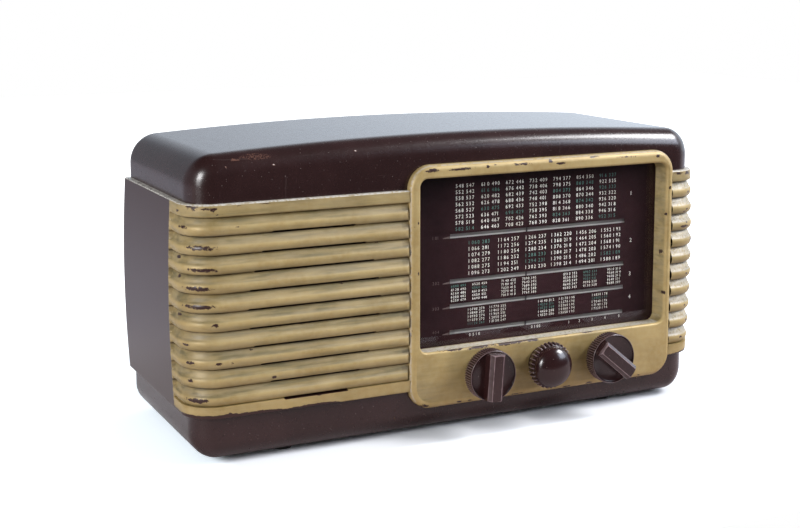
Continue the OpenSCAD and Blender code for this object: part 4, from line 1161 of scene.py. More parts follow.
class RibbedBand:
    """The raised band with its ribs, from the dial frame round one corner to the rear."""

    LEFT_WORN = (
        Spot(177, 175.5, 10, 1.7), Spot(176, 158, 9, 1.6), Spot(178.5, 143.5, 9.5, 1.8),
        Spot(178.5, 129, 10.5, 1.8), Spot(181, 53, 8, 1.8), Spot(169, 114, 2.4, 1.3),
        Spot(185, 83.5, 3, 1.4), Spot(167, 83, 2.2, 1.1), Spot(157, 82.5, 1.6, 1),
        Spot(185.5, 69, 2.4, 1.3), Spot(122, 66.6, 1.8, 1.1), Spot(83, 46.6, 2, 0.9),
        Spot(171, 206, 5, 1.1), Spot(168.5, 204.3, 1.4, 1.3), Spot(118.2, 202, 2.3, 0.8),
        Spot(148, 207, 7, 0.6), Spot(182.5, 207, 4.5, 1.1), Spot(50, 204, 1.8, 0.7, 0.9),
        Spot(128, 207.3, 6, 0.4), Spot(8, 204.4, 9, 0.5, 0.9), Spot(103, 107.5, 28, 1.1, 0.62),
        Spot(166, 201.6, 1.8, 0.8), Spot(196, 203, 2, 1.4), Spot(196, 151, 2.5, 1.2),
        Spot(190, 191, 5, 1.2, 0.9), Spot(188, 98, 4, 1.2, 0.8), Spot(140, 91, 2, 0.8),
        Spot(62, 137, 1.6, 0.8), Spot(196, 120, 3, 1.4), Spot(197, 166, 3, 1.2), Spot(30, 168, 1.4, 0.8),
        Spot(150, 190.5, 2.2, 0.8, 0.9))
    RIGHT_WORN = (
        Spot(17.4, 189, 1.2, 1.2), Spot(15.5, 173.2, 1.3, 1), Spot(12.5, 171, 2.2, 0.9),
        Spot(15, 161, 1, 0.8), Spot(12.5, 157.5, 4.2, 1.3), Spot(22, 144, 1.6, 1.8), Spot(18, 129, 1.3, 1),
        Spot(22, 130, 1.2, 1.6), Spot(16, 113, 1.4, 1), Spot(20, 98, 1.5, 1.3), Spot(15, 83, 1.2, 1),
        Spot(19, 68, 1.6, 1.4), Spot(13, 53, 2, 1.2), Spot(6, 206.8, 5, 0.9), Spot(17, 206.4, 3.4, 1.4),
        Spot(20, 42, 3, 1.3))

    LIP_ROUND = 1.0
    FRAME_ROLL = 5.5
    UNDER_FRAME = 0.3
    # The hidden edges lie this far out from the cabinet's face, and their rows are marked by this cut.
    SUNK, ON_WALL = -0.5, 99.0
    RIB_STEPS = (0.0, 0.015, 0.035, 0.06, 0.14, 0.18, 0.23, 0.30, 0.37, 0.44, 0.50, 0.55, 0.59, 0.63, 0.69,
                 0.76, 0.83, 0.88, 0.965, 1.0)
    # The rounding above the top rib: the height over the rib's edge, and the depth.
    TOP_RIB = ((0.01, -0.9), (0.3, -0.35), (0.9, -0.05), (1.8, 0), (4, 0))
    START_STEPS = (0, 0.3, 0.8, 1.5, 2.4, 3.4, 4.5)
    PLAIN_STEPS = (1, 2, 3.5, 5, 8, 12, 20, 35, 50, 70, 90, 110, 128, 134.6)
    PAINT_FADE = 0.8
    SLOT_UNDER, SLOT_OVER = 0.4, 0.6
    RIB_END_SLOPE = 6.0
    # The rib crests' wear, and pale dust with a painted sheen on the right band's ribs.
    CREST_WEAR, RIGHT_PALE = 0.2, 0.4
    # The lips' dirt, with painted shade on the top lip, and the most of dirt and shade together.
    DIRTY_TOP, DIRTY_FOOT, MOST_DIRT = 0.62, 0.35, 0.91
    # Painted shade in the rib hollows next to the frame, and how far it reaches.
    FRAME_DIRT, FRAME_DIRT_REACH = 0.75, 7
    HOLLOW_FROM, HOLLOW_SPAN = -0.6, 2.5
    # Where the paint ends: the distance along the band and the height of its lower edge, and the height
    # and how far behind the ribs' end it stops.
    LEFT_PAINT_FOOT = ((0, 60, 74, 94, 110, 127, 150, 157, 159, 161, 189, 215),
                       (37, 37.4, 39.7, 39.7, 38.6, 40.3, 40.6, 41, 42.8, 41, 40.5, 40))
    LEFT_PAINT_END = ((40, 80, 120, 150, 190, 209), (1.5, 0.8, 1, 0.6, 1, 2))
    RIGHT_PAINT_FOOT = ((0, 8, 20, 40, 60), (37, 38.5, 40, 41, 40))
    RIGHT_PAINT_END = ((40, 120, 209), (5, 5.5, 4))

    def __init__(self, drawing: Drawing, side: BandSide, sizes: CabinetSizes = CAB) -> None:
        """Keeps the sizes and finds where the band starts and bends.

        Args:
            drawing: the drawing's place.
            side: which end of the cabinet it covers.
            sizes: the cabinet's sizes.
        """
        self.drawing, self.side, self.sizes = drawing, side, sizes
        self.start = (-FRAME.left if side is BandSide.LEFT else FRAME.right) - self.UNDER_FRAME
        self.front = sizes.width / 2 - sizes.corner_r - self.start
        self.arc = sizes.corner_r * QUARTER

    @property
    def rib_end(self) -> float:
        """The distance along the band at which its ribs end on the side."""
        return self.front + self.arc + self.sizes.wrap - self.sizes.corner_r

    def along(self) -> np.ndarray:
        """Returns the distances along the band from the dial frame.

        Returns:
            The distances in millimetres.
        """
        s = self.sizes
        front = np.linspace(self.FRAME_ROLL, self.front, max(3, int(self.front / 1.15)))
        bend = np.linspace(self.front, self.front + self.arc, 37)[1:]
        ribbed = np.linspace(self.front + self.arc, self.rib_end, 18)[1:]
        plain = self.rib_end + np.array(self.PLAIN_STEPS)
        ends = self.front + self.arc + s.depth - s.corner_r
        plain = np.append(plain[plain < ends - 1.2], [ends - 0.8, ends, ends])
        return np.concatenate([self.START_STEPS, front, bend, ribbed, plain])

    def heights(self) -> tuple[np.ndarray, np.ndarray, np.ndarray]:
        """Returns the rows' heights, their rib profiles and how deep the rounding of the lips cuts in.

        Returns:
            For each row, its height, its rib's depth and the lip's cut.
        """
        s, round_r = self.sizes, self.LIP_ROUND
        rows = [(s.low, 0.0, self.ON_WALL)]
        for t in np.linspace(0, QUARTER, 5):
            rows.append((s.low + round_r * (1 - math.cos(t)), 0.0, round_r * (1 - math.sin(t))))
        rows += [(s.low + 2.4, 0.0, 0.0), (s.rib_z(s.ribs) - 2.2, 0.0, 0.0)]
        slot_low, slot_high = -self.SLOT_UNDER * s.slot_h, self.SLOT_OVER * s.slot_h
        steps = sorted((*self.RIB_STEPS, slot_high / s.pitch, 1 + slot_low / s.pitch))
        for k in range(s.ribs, 0, -1):
            base = s.rib_z(k)
            if k == s.ribs:
                for t in (slot_low, slot_low / 2, -0.01):
                    rows.append((base + t, 0.0, 0.0))
            for v in steps:
                rows.append((base + v * s.pitch, float(np.interp(v, *zip(*RIB_DEPTHS))), 0.0))
        base = s.rib_z(0)
        rows += [(base + rise, depth, 0) for rise, depth in self.TOP_RIB]
        rows += [(s.high - 3, 0, 0), (s.high - 1.6, 0, 0)]
        for t in np.linspace(QUARTER, 0, 5):
            rows.append((s.high - round_r * (1 - math.cos(t)), 0.0, round_r * (1 - math.sin(t))))
        rows.append((s.high, 0.0, self.ON_WALL))
        table = np.array(rows)
        return table[:, 0], table[:, 1], table[:, 2]

    def surface(self, u: np.ndarray, out: np.ndarray) -> tuple[np.ndarray, np.ndarray]:
        """Turns a distance along the band and a distance outwards into x and y.

        Args:
            u: the distances along the band.
            out: the distances from the cabinet's face.

        Returns:
            The x and the y of each point.
        """
        s, sign = self.sizes, self.side.value
        turn = np.clip((u - self.front) / s.corner_r, 0, QUARTER)
        centre = s.width / 2 - s.corner_r
        straight = np.minimum(u, self.front) - self.front
        x = centre + straight + (s.corner_r + out) * np.sin(turn)
        y = s.corner_r - (s.corner_r + out) * np.cos(turn) + np.maximum(u - self.front - self.arc, 0)
        return sign * x, y

    def cover(self, u: np.ndarray, z: np.ndarray) -> np.ndarray:
        """Says how far inside the painted part each point lies, in millimetres.

        Args:
            u: the distances along the band.
            z: the heights.

        Returns:
            The distances to the paint's edge, above 0 inside it.
        """
        if self.side is BandSide.LEFT:
            foot, rear = self.LEFT_PAINT_FOOT, self.LEFT_PAINT_END
        else:
            foot, rear = self.RIGHT_PAINT_FOOT, self.RIGHT_PAINT_END
        low, end = np.interp(u, *foot), self.rib_end + np.interp(z, *rear)
        return np.minimum(z - low, (end - u) * self.PAINT_FADE)

    def build(self) -> bpy.types.Object:
        """Builds the band's skin with its slots.

        Returns:
            The piece.
        """
        s = self.sizes
        u, (z, deep, cut) = self.along(), self.heights()
        grid_u, grid_z = np.meshgrid(u, z)
        rib = deep[:, None] * np.ones_like(grid_u)
        holes = self.side is BandSide.LEFT
        near = np.clip(1 - grid_u / self.FRAME_ROLL, 0, 1) * holes
        is_rib = ((grid_z > s.rib_z(s.ribs)) & (grid_z < s.rib_z(0)))
        rib = np.where(is_rib, np.minimum(rib, -s.deep * (1 - np.sqrt(1 - near ** 2))), rib)
        rib = np.maximum(rib, -self.RIB_END_SLOPE * np.maximum(self.rib_end - grid_u, 0))
        out = s.stand(grid_z) + rib - cut[:, None]
        out = np.where(cut[:, None] == self.ON_WALL, self.SUNK, out)
        out[:, -1] = self.SUNK
        keep = np.ones((len(z) - 1, len(u) - 1), bool)
        if holes:
            grid_u = self.slots(grid_u, z, keep)
        x, y = self.surface(grid_u, out)
        points = np.stack([x, y, grid_z], -1)
        spots = self.LEFT_WORN if holes else self.RIGHT_WORN
        wear = worn(spots, grid_u, grid_z)
        edge = np.clip(np.abs(grid_u - self.front - self.arc / 2) / (self.arc / 2), 0, 1)
        crest = np.clip(1 + rib, 0, 1) * (1 - edge ** 2) * self.CREST_WEAR
        wear = np.maximum(wear, crest)
        share = ((grid_z - s.rib_z(s.ribs)) / s.pitch) % 1.0
        # The lips' dirt, the top one's darkened further as painted shade.
        lips = np.where(grid_z > (s.low + s.high) / 2, self.DIRTY_TOP, self.DIRTY_FOOT)
        dirt = np.where(is_rib, np.interp(share, *zip(*RIB_DIRT_AND_SHADE)), lips)
        # Painted shade in the rib hollows within a few millimetres of the frame.
        shade_by_frame = np.clip(1.15 - grid_u / self.FRAME_DIRT_REACH, 0, 1) * holes
        hollow = np.clip((self.HOLLOW_FROM - rib) / self.HOLLOW_SPAN, 0, 1)
        more = dirt + self.FRAME_DIRT * shade_by_frame * is_rib * hollow
        dirt = np.maximum(dirt, np.minimum(more, self.MOST_DIRT))
        # Pale dust with a painted sheen on the upper half of the right band's ribs, and pale dust with a
        # painted highlight on the top lip's rounding.
        pale = self.RIGHT_PALE * is_rib * (1 - holes) * (share > 0.5)
        ledge = (cut[:, None] > 0.05) & (grid_z > s.high - 1.7)
        mesh = MeshBuilder(self.drawing)
        mesh.grid(points, keep=keep, cover=self.cover(grid_u, grid_z), wear=wear, dirt=dirt,
                  pale=np.maximum(ledge, pale))
        if holes:
            self.tunnels(mesh, points, keep)
        name = f"ribbed_band_{self.side.name.lower()}"
        return put_in(mesh.piece(name, Finish.GOLD.get(), 44, weld=0), "case", "frame_paint")

    def slots(self, grid_u: np.ndarray, z: np.ndarray, keep: np.ndarray) -> np.ndarray:
        """Takes the slots' faces out, and moves the points beside them onto the slots' round ends.

        Args:
            grid_u: the distance along the band of each point.
            z: the rows' heights.
            keep: which faces stay, changed here.

        Returns:
            The distances with the slots' ends in place.
        """
        s, moved = self.sizes, grid_u.copy()
        middle = -s.speaker_x - self.start
        for k in range(1, s.ribs + 1):
            centre = s.rib_z(k) + 0.1 * s.slot_h
            half_h = s.slot_h / 2
            rows = np.where(np.abs(z - centre) <= half_h + 0.02)[0]
            first, last = {}, {}
            for row in rows:
                rise = min(abs(z[row] - centre) / half_h, 1)
                reach = s.slot_half(k) - half_h * (1 - math.sqrt(1 - rise ** 2))
                for ends, target in ((first, middle - reach), (last, middle + reach)):
                    column = int(np.argmin(np.abs(grid_u[row] - target)))
                    ends[row] = (column, target)
            left = min(c for c, _ in first.values())
            right = max(c for c, _ in last.values())
            for row in rows:
                moved[row, left], moved[row, right] = first[row][1], last[row][1]
            keep[rows[0]:rows[-1], left:right] = False
        return moved

    def tunnels(self, mesh: MeshBuilder, points: np.ndarray, keep: np.ndarray) -> None:
        """Adds the slots' unpainted inner walls, back to the cabinet wall's inner face.

        Args:
            mesh: the band's mesh.
            points: the band's points.
            keep: which of its faces are there.
        """
        for i, j in zip(*np.where(~keep)):
            for (di, dj), (a, b) in (((-1, 0), ((i, j), (i, j + 1))), ((1, 0), ((i + 1, j), (i + 1, j + 1))),
                                     ((0, -1), ((i, j), (i + 1, j))), ((0, 1), ((i, j + 1), (i + 1, j + 1)))):
                if keep[i + di, j + dj]:
                    front = np.array([points[a], points[b]])
                    back = front[::-1].copy()
                    back[:, 1] = self.sizes.wall
                    start = mesh.add(np.concatenate([front, back]), cover=np.full(4, -COVERED))
                    mesh.faces.append((start, start + 1, start + 2, start + 3))


# Dial frame


class DialFrame:
    """The gold moulding round the dial and behind the knobs."""

    WORN = (
        Spot(-35, 224.8, 6, 1.7), Spot(-8, 224.6, 13, 1.1, 0.95), Spot(18, 225, 1.6, 1.1),
        Spot(25, 226.2, 1.4, 0.8), Spot(52, 225.3, 9, 1.3, 0.85), Spot(80, 226, 2, 1.6),
        Spot(90, 223.8, 4.5, 1), Spot(125, 227.2, 5, 0.8, 0.9), Spot(193, 224.1, 2.2, 1.5),
        Spot(160, 225.5, 12, 0.9, 0.75), Spot(-47.8, 181.8, 0.8, 1.3), Spot(-47.7, 139, 0.8, 1.4),
        Spot(-54.2, 157, 1, 2), Spot(-54.2, 87.5, 1, 2), Spot(203.5, 134.9, 0.8, 2.4),
        Spot(204.7, 97.4, 0.8, 1.8), Spot(207.2, 194.5, 1.2, 1.4), Spot(205, 170, 0.7, 1.6),
        Spot(211, 186, 1.2, 6), Spot(-14, 70.3, 13, 1.4, 0.9), Spot(12, 69.4, 12, 1.3, 0.95),
        Spot(40, 69.4, 16, 1.4, 0.95), Spot(64, 69.6, 8, 1.2), Spot(99, 70.6, 3, 0.9),
        Spot(121, 70.3, 6, 0.9), Spot(168.4, 71.4, 3.4, 0.9), Spot(-41.5, 24, 5, 1.4, 0.9),
        Spot(-8.4, 23.6, 3, 0.8), Spot(2.8, 23.4, 3, 0.8), Spot(99.8, 22.8, 5, 0.9),
        Spot(124, 23.2, 4, 0.9), Spot(142, 23.3, 6, 0.8, 0.9), Spot(178, 23.8, 3, 0.8),
        Spot(50, 22.8, 8, 0.6, 0.85))
    FLARE = 3.4
    LIP = 2.0
    LEDGE_WEAR, LEDGE_DIRT, LEDGE_PALE = 0.42, 0.75, 0.75
    # The least wear, the roundings' wear, and pale bloom with a painted highlight on the outer rim.
    LEAST_WEAR, ROUND_WEAR, RIM_PALE = 0.12, 0.2, 0.8
    # The least dirt, a painted knob shadow, darker towards the lower left, dirt with painted shade on the
    # side walls, and dirt at the foot.
    LEAST_DIRT, HALO_DIRT, SHADE_DIRT, WALL_DIRT, FOOT_DIRT = 0.14, 0.3, 0.5, 0.6, 0.45
    # The painted knob shadow's radius and softness.
    HALO_RADIUS, HALO_SOFT = 20, 8

    def __init__(self, drawing: Drawing, sizes: FrameSizes = FRAME) -> None:
        """Keeps the sizes."""
        self.drawing, self.sizes = drawing, sizes

    def build(self) -> bpy.types.Object:
        """Builds the frame from rings between its outer outline and its opening.

        Returns:
            The piece.
        """
        f = self.sizes
        counts, lip = (150, 110, 14), self.LIP
        outer, out_n = rounded_outline(f.left, f.right, f.low, f.high, f.radius, *counts)
        inner, in_n = rounded_outline(f.open_left, f.open_right, f.open_low, f.open_high, f.open_r, *counts)
        rings, depths = [], []
        flare = self.FLARE * (inner[:, 0] > f.open_right - f.open_r) * np.clip(
            (inner[:, 0] - f.open_right + f.open_r) / f.open_r, 0, 1)

        def ring(flat: np.ndarray, y: float, inside: float) -> None:
            """Adds one ring of points.

            Args:
                flat: its x and z.
                y: its depth.
                inside: how far in it lies, from 0 on the outer wall to 3 on the opening's wall.
            """
            opened = flare * (f.deep - y) / (f.deep + f.out) if inside >= 2 and y < f.deep else 0
            rings.append(np.stack([flat[:, 0] + opened, np.full(len(flat), y), flat[:, 1]], -1))
            depths.append(inside)

        for y in (0.0, -1.0, -2.0, -f.out + f.edge):
            ring(outer, y, 0.0)
        for t in np.linspace(0, QUARTER, 9)[1:]:
            inside = 1 - math.cos(t)
            ring(outer - out_n * f.edge * inside, -f.out + f.edge * (1 - math.sin(t)), inside)
        face_out, face_in = outer - out_n * f.edge, inner + in_n * lip
        face_in[:, 0] += flare
        for t in np.linspace(0, 1, 34)[1:-1]:
            ring(face_out + (face_in - face_out) * t, -f.out, 1.0)
        for t in np.linspace(QUARTER, 0, 6):
            ring(inner + in_n * lip * (1 - math.cos(t)), -f.out + lip * (1 - math.sin(t)), 2.0)
        for y in (-4.0, -2.0, 0.0, 2.0, 4.0, f.deep):
            ring(inner, y, 3.0)
        for width, y in ((1.5, f.deep), (3.0, f.deep), (3.0, 2.0)):
            ring(inner + in_n * width, y, 3.0)
        points, kind = np.stack(rings), np.array(depths)[:, None]
        x, y, z = points[..., 0], points[..., 1], points[..., 2]
        wear = worn(self.WORN, x, z) * (y < 1)
        rounds = 1.0 * ((kind > 0.1) & (kind < 0.9)) + (kind == 2.0)
        wear = np.maximum(wear, self.LEAST_WEAR + self.ROUND_WEAR * rounds)
        # Painted shadow of each knob: a darker ring on the frame at the knob's left.
        knob_shadow = np.zeros_like(x)
        for centre in f.knobs_x:
            away = np.hypot(x - centre + 6, (z - f.shaft_z) * 0.9)
            shadow_ring = np.clip(1.4 - np.abs(away - self.HALO_RADIUS) / self.HALO_SOFT, 0, 1)
            knob_shadow = np.maximum(knob_shadow, shadow_ring * (x < centre + 12))
        ledge = (kind == 3.0) & (z < f.open_low + 1) & (y < f.deep - 0.1)
        # Pale bloom and a painted highlight along the outer rounding at the frame's top and left.
        rim = np.clip(1 - np.abs(kind - 0.12) / 0.12, 0, 1) * ((z > f.high - 12) | (x < f.left + 6))
        # The frame's face grows darker towards its lower left.
        shade = np.clip((-8 - x) / 30, 0, 1) * np.clip((72 - z) / 30, 0, 1)
        # Dirt and painted shade on the opening's side walls.
        wall = (kind == 3.0) & ((x < 0) | (x > f.open_right - 3))
        dirt = (self.LEAST_DIRT + (self.HALO_DIRT * knob_shadow + self.SHADE_DIRT * shade) * (kind >= 1)
                + self.WALL_DIRT * wall + self.FOOT_DIRT * (y > -2) * (kind < 0.05))
        mesh = MeshBuilder(self.drawing)
        mesh.grid(points, wrap_columns=True, cover=np.full_like(x, COVERED),
                  wear=np.where(ledge, self.LEDGE_WEAR, wear),
                  dirt=np.clip(np.where(ledge, self.LEDGE_DIRT, dirt), 0, 1),
                  pale=np.maximum(ledge * self.LEDGE_PALE, rim * self.RIM_PALE))
        piece = mesh.piece("dial_frame_skin", Finish.GOLD.get())
        return put_in(piece, "case", "frame_paint", "dial_frame")


# Dial


@dataclass(frozen=True)
class Columns:
    """One band of the dial: its columns' places, its rows and its range of numbers."""

    edges: tuple[tuple[float, float], ...]
    top: float
    bottom: float
    rows: int
    lowest: int
    highest: int
    green: tuple[tuple[int, int], ...]


class DialPrint:
    """The print on the back of the dial glass: the dark field, its bars and its plain numbers."""

    PRINT_WELD = 0.0005
    FACE_Y = 10.03
    FIELD_Y = 10.12
    FIELD_X, FIELD_Z = (-52.0, 208.0), (67.0, 221.0)
    BARS = (164.6, 125.2, 103.4, 80.6)
    BAR_HIGH = 3.8
    BAR_X = (-15.0, -9.0, 170.0)
    BAR_START = ((-16.0, -1.7), (-9.4, -1.8), (-9.4, 0.1), (-16.0, -1.0))
    LEDGE_X, LEDGE_STEPS = (-12, 172), 60
    # A ledge's section: depth, height from the bar's middle, and the share of its painted highlight.
    LEDGE = ((16.0, -4, 0.0), (12.0, -4, 0.0), (11.9, -2.2, 0.0), (11.9, -1.9, 0.9), (11.9, -1.1, 0.8),
             (11.9, -0.8, 0.1), (11.9, 2.8, 0.0), (12.6, 3.1, 0.0), (16.0, 3.1, 0.0))
    # A digit's width for its height, the room of a space, the widest step, and the width of its shape.
    DIGIT, SPACE, LOOSEST, NARROW = 0.62, 0.55, 1.5, 0.92
    TALLEST, ROW_SHARE = 3.1, 0.68
    SCALE_START, SCALE_LONG, ROW_SHIFT = -12, 182, 0.011
    SHORT_WAVES, WAVE_NUMBER = 3000, 299792
    BAND_NUMBERS, BAND_NUMBER_X, BAND_NUMBER_HIGH = (189.5, 146.2, 115.0, 93.5), (174, 181), 3.6
    END_MARKS, END_MARK_X, END_MARK_HIGH = (164.1, 124.9, 102.8, 82.1), (-28, -17), 2.6
    FOOT_Z, FOOT_HIGH, FOOT_HALF = 76.5, 2.4, 2
    FOOT_SCALES = (("0 5 10", 5, 26), ("0 100", 69, 86))
    FOOT_NUMBERS = (112.9, 123.5, 137.2, 151.0, 166.5)
    BANDS = (
        Columns(((-5.8, 16.2), (19.2, 41.2), (43.6, 65.4), (67.6, 89.2), (92, 113.2), (116, 137.6),
                 (140.2, 162)),
                207.6, 170.4, 8, 520, 980,
                ((1, 8), (2, 2), (2, 5), (3, 6), (5, 3), (5, 7), (6, 2), (6, 5), (7, 1), (7, 3), (7, 8))),
        Columns(((9.2, 30.1), (37.8, 59.8), (66, 87.2), (92.2, 113.8), (118.6, 139.9), (144.8, 166.6)),
                157.6, 131, 6, 960, 1620, ((1, 1), (3, 4), (3, 5), (6, 5))),
        Columns(((-9.4, 8.3), (11.4, 29), (40.3, 57.9), (61.4, 79.1), (104.3, 121.6), (125.5, 142.7),
                 (150.9, 168.8)),
                120.9, 108.3, 5, 5900, 9800, ((1, 1), (2, 2), (6, 1), (6, 2), (6, 3))),
        Columns(((8.5, 25.6), (29.6, 47.5), (79.1, 97.1), (100.9, 118.6), (136.3, 153.5)),
                98.9, 86.3, 5, 9500, 18200, ((1, 5), (3, 2), (3, 3), (5, 2))),
    )

    def __init__(self, drawing: Drawing) -> None:
        """Starts the print.

        Args:
            drawing: the drawing's place.
        """
        self.drawing = drawing
        self.glyphs = {c: self.glyph(c) for c in "0123456789"}
        inks = (Finish.WHITE_INK, Finish.GREEN_INK, Finish.DIM_INK)
        self.inks = {ink: MeshBuilder(drawing) for ink in inks}

    @staticmethod
    def glyph(letter: str) -> tuple[np.ndarray, list[tuple[int, ...]]]:
        """Makes a digit's flat mesh, one unit high.

        Args:
            letter: the digit.

        Returns:
            Its points, as across and up, and its faces.
        """
        curve = bpy.data.curves.new("digit", "FONT")
        curve.body, curve.resolution_u = letter, 3
        text = bpy.data.objects.new("digit", curve)
        bpy.context.scene.collection.objects.link(text)
        bpy.context.view_layer.update()
        mesh = text.to_mesh()
        points = np.array([v.co.xy for v in mesh.vertices])
        faces = [tuple(p.vertices) for p in mesh.polygons]
        text.to_mesh_clear()
        bpy.data.objects.remove(text)
        bpy.data.curves.remove(curve)
        points[:, 0] -= points[:, 0].min()
        high = points[:, 1].max() - points[:, 1].min()
        return (points - [0, points[:, 1].min()]) / high, faces

    def write(self, ink: Finish, text: str, left: float, right: float, z: float, high: float) -> None:
        """Writes digits that fill a width, centred on a height.

        Args:
            ink: the ink.
            text: the digits and spaces.
            left, right: the room for them.
            z: their middle's height.
            high: their height.
        """
        builder, digit = self.inks[ink], high * self.DIGIT
        gaps = sum(self.SPACE if c == " " else 1.0 for c in text)
        step = (right - left - digit) / max(gaps - 1, 0.5) if len(text) > 1 else 0
        step = min(step, digit * self.LOOSEST)
        x = (left + right) / 2 - (step * (gaps - 1) + digit) / 2
        for c in text:
            if c == " ":
                x += step * self.SPACE
                continue
            points, faces = self.glyphs[c]
            placed = np.stack([x + points[:, 0] * high * self.NARROW, np.full(len(points), self.FACE_Y),
                               z - high / 2 + points[:, 1] * high], -1)
            start = builder.add(placed)
            builder.faces += [tuple(start + i for i in f) for f in faces]
            x += step

    def band(self, band: Columns) -> None:
        """Writes one band's columns.

        Args:
            band: the band.
        """
        pitch = (band.top - band.bottom) / (band.rows - 1)
        high = min(pitch * self.ROW_SHARE, self.TALLEST)
        for c, (left, right) in enumerate(band.edges, 1):
            share = ((left + right) / 2 - self.SCALE_START) / self.SCALE_LONG
            for row in range(1, band.rows + 1):
                along = share + self.ROW_SHIFT * (row - band.rows / 2)
                value = band.lowest + (band.highest - band.lowest) * along
                short = value >= self.SHORT_WAVES
                rate = int(value // 10 * 10) if short else int(value // 2 * 2)
                metres = round((10 if short else 1) * self.WAVE_NUMBER / value)
                ink = Finish.GREEN_INK if (c, row) in band.green else Finish.WHITE_INK
                self.write(ink, f"{rate} {metres}", left, right, band.top - (row - 1) * pitch, high)

    def labels(self) -> None:
        """Writes the band numbers, the end marks and the knobs' marks."""
        white, dim = Finish.WHITE_INK, Finish.DIM_INK
        for number, z in enumerate(self.BAND_NUMBERS, 1):
            self.write(white, str(number), *self.BAND_NUMBER_X, z, self.BAND_NUMBER_HIGH)
        for number, z in enumerate(self.END_MARKS, 1):
            self.write(dim, f"{number}0{number}", *self.END_MARK_X, z, self.END_MARK_HIGH)
        for z in self.BARS:
            builder = self.inks[dim]
            start = builder.add(np.array([(x, self.FACE_Y, z + rise) for x, rise in self.BAR_START]))
            builder.faces.append((start, start + 1, start + 2, start + 3))
        for scale, left, right in self.FOOT_SCALES:
            self.write(white, scale, left, right, self.FOOT_Z, self.FOOT_HIGH)
        for number, x in enumerate(self.FOOT_NUMBERS, 1):
            left, right = x - self.FOOT_HALF, x + self.FOOT_HALF
            self.write(white, str(number), left, right, self.FOOT_Z, self.FOOT_HIGH)

    def field(self) -> None:
        """Builds the dark field with the bars left open."""
        (left, right), (low, high), (start, full, end) = self.FIELD_X, self.FIELD_Z, self.BAR_X
        x = np.concatenate([[left], [start], np.linspace(full, end, 60), [right]])
        levels = [low]
        for z in sorted(self.BARS):
            levels += [z - self.BAR_HIGH / 2, z + self.BAR_HIGH / 2]
        levels.append(high)
        grid_x, grid_z = np.meshgrid(x, levels)
        keep = np.ones((len(levels) - 1, len(x) - 1), bool)
        keep[1::2, 2:-1] = False
        mesh = MeshBuilder(self.drawing)
        mesh.grid(np.stack([grid_x, np.full_like(grid_x, self.FIELD_Y), grid_z], -1), keep=keep)
        put_in(mesh.piece("dial_field", Finish.FIELD.get()), "case", "printed_glass")

    def ledges(self) -> None:
        """Builds the pale ledges that show through the bars."""
        mesh = MeshBuilder(self.drawing)
        x = np.linspace(*self.LEDGE_X, self.LEDGE_STEPS)
        shine = np.array([pale for _, _, pale in self.LEDGE])[:, None] * np.ones_like(x)
        for z in self.BARS:
            rows = [np.stack([x, np.full_like(x, y), np.full_like(x, z + rise)], -1)
                    for y, rise, _ in self.LEDGE]
            mesh.grid(np.stack(rows), shine=shine)
        put_in(mesh.piece("bar_ledges", Finish.LEDGE.get(), 30), "case", "cream_paint")

    def build(self) -> None:
        """Builds the whole print."""
        for band in self.BANDS:
            self.band(band)
        self.labels()
        self.field()
        self.ledges()
        for ink, builder in self.inks.items():
            name = ink.name.lower()
            put_in(builder.piece(name, ink.get(), weld=self.PRINT_WELD), "case", "printed_glass")


# Knobs


@dataclass(frozen=True)
class KnobSizes:
    """A knob's sizes in millimetres."""

    radius: float = 22.2
    back_y: float = -10
    rim_y: float = -18.6
    face_y: float = -30
    bar_y: float = -38
    bar_top: float = 8.8
    bar_foot: float = 15.4


class Knob:
    """A turned and knurled knob body."""

    SMOOTH, WELD = 38, 0.002
    # How much lighter the rim's edge and the teeth's crests are, as wear and a painted highlight.
    RIM_EDGE, CREST_EDGE = 0.55, 0.75

    def __init__(self, drawing: Drawing, x: float, sizes: KnobSizes = KnobSizes()) -> None:
        """Places the knob on its shaft."""
        self.x, self.z, self.sizes = x, FRAME.shaft_z, sizes
        self.mesh = MeshBuilder(drawing)

    def knurl(self, teeth: int, depth: float, rows: list[tuple[float, float, float]],
              per_tooth: int = 8) -> None:
        """Adds rings whose radius waves with the teeth.

        Args:
            teeth: the number of teeth.
            depth: the depth of a full tooth in millimetres.
            rows: for each ring, its radius, its depth in the drawing and its share of the teeth.
            per_tooth: the points on each tooth.
        """
        turn = np.linspace(0, 2 * math.pi, teeth * per_tooth, endpoint=False)
        wave = (0.5 - 0.5 * np.cos(turn * teeth)) ** 0.7
        rings = []
        for radius, y, share in rows:
            r = radius - depth * share * wave
            ring = [self.x + r * np.cos(turn), np.full(len(turn), y), self.z + r * np.sin(turn)]
            rings.append(np.stack(ring, -1))
        rim = np.array([self.RIM_EDGE * (abs(y - self.sizes.face_y) < 0.11) for _, y, _ in rows])
        crest = np.array([self.CREST_EDGE * share for _, _, share in rows])[:, None]
        crest = crest * np.clip(1 - 2.2 * wave, 0, 1)
        self.mesh.grid(np.stack(rings), wrap_columns=True, edge=np.maximum(rim[:, None], crest))

    def finish(self, name: str, body: str, node: str) -> bpy.types.Object:
        """Makes the collected mesh one piece."""
        piece = self.mesh.piece(name, Finish.KNOB.get(), self.SMOOTH, self.WELD)
        return put_in(piece, body, "knob_moulding", node)


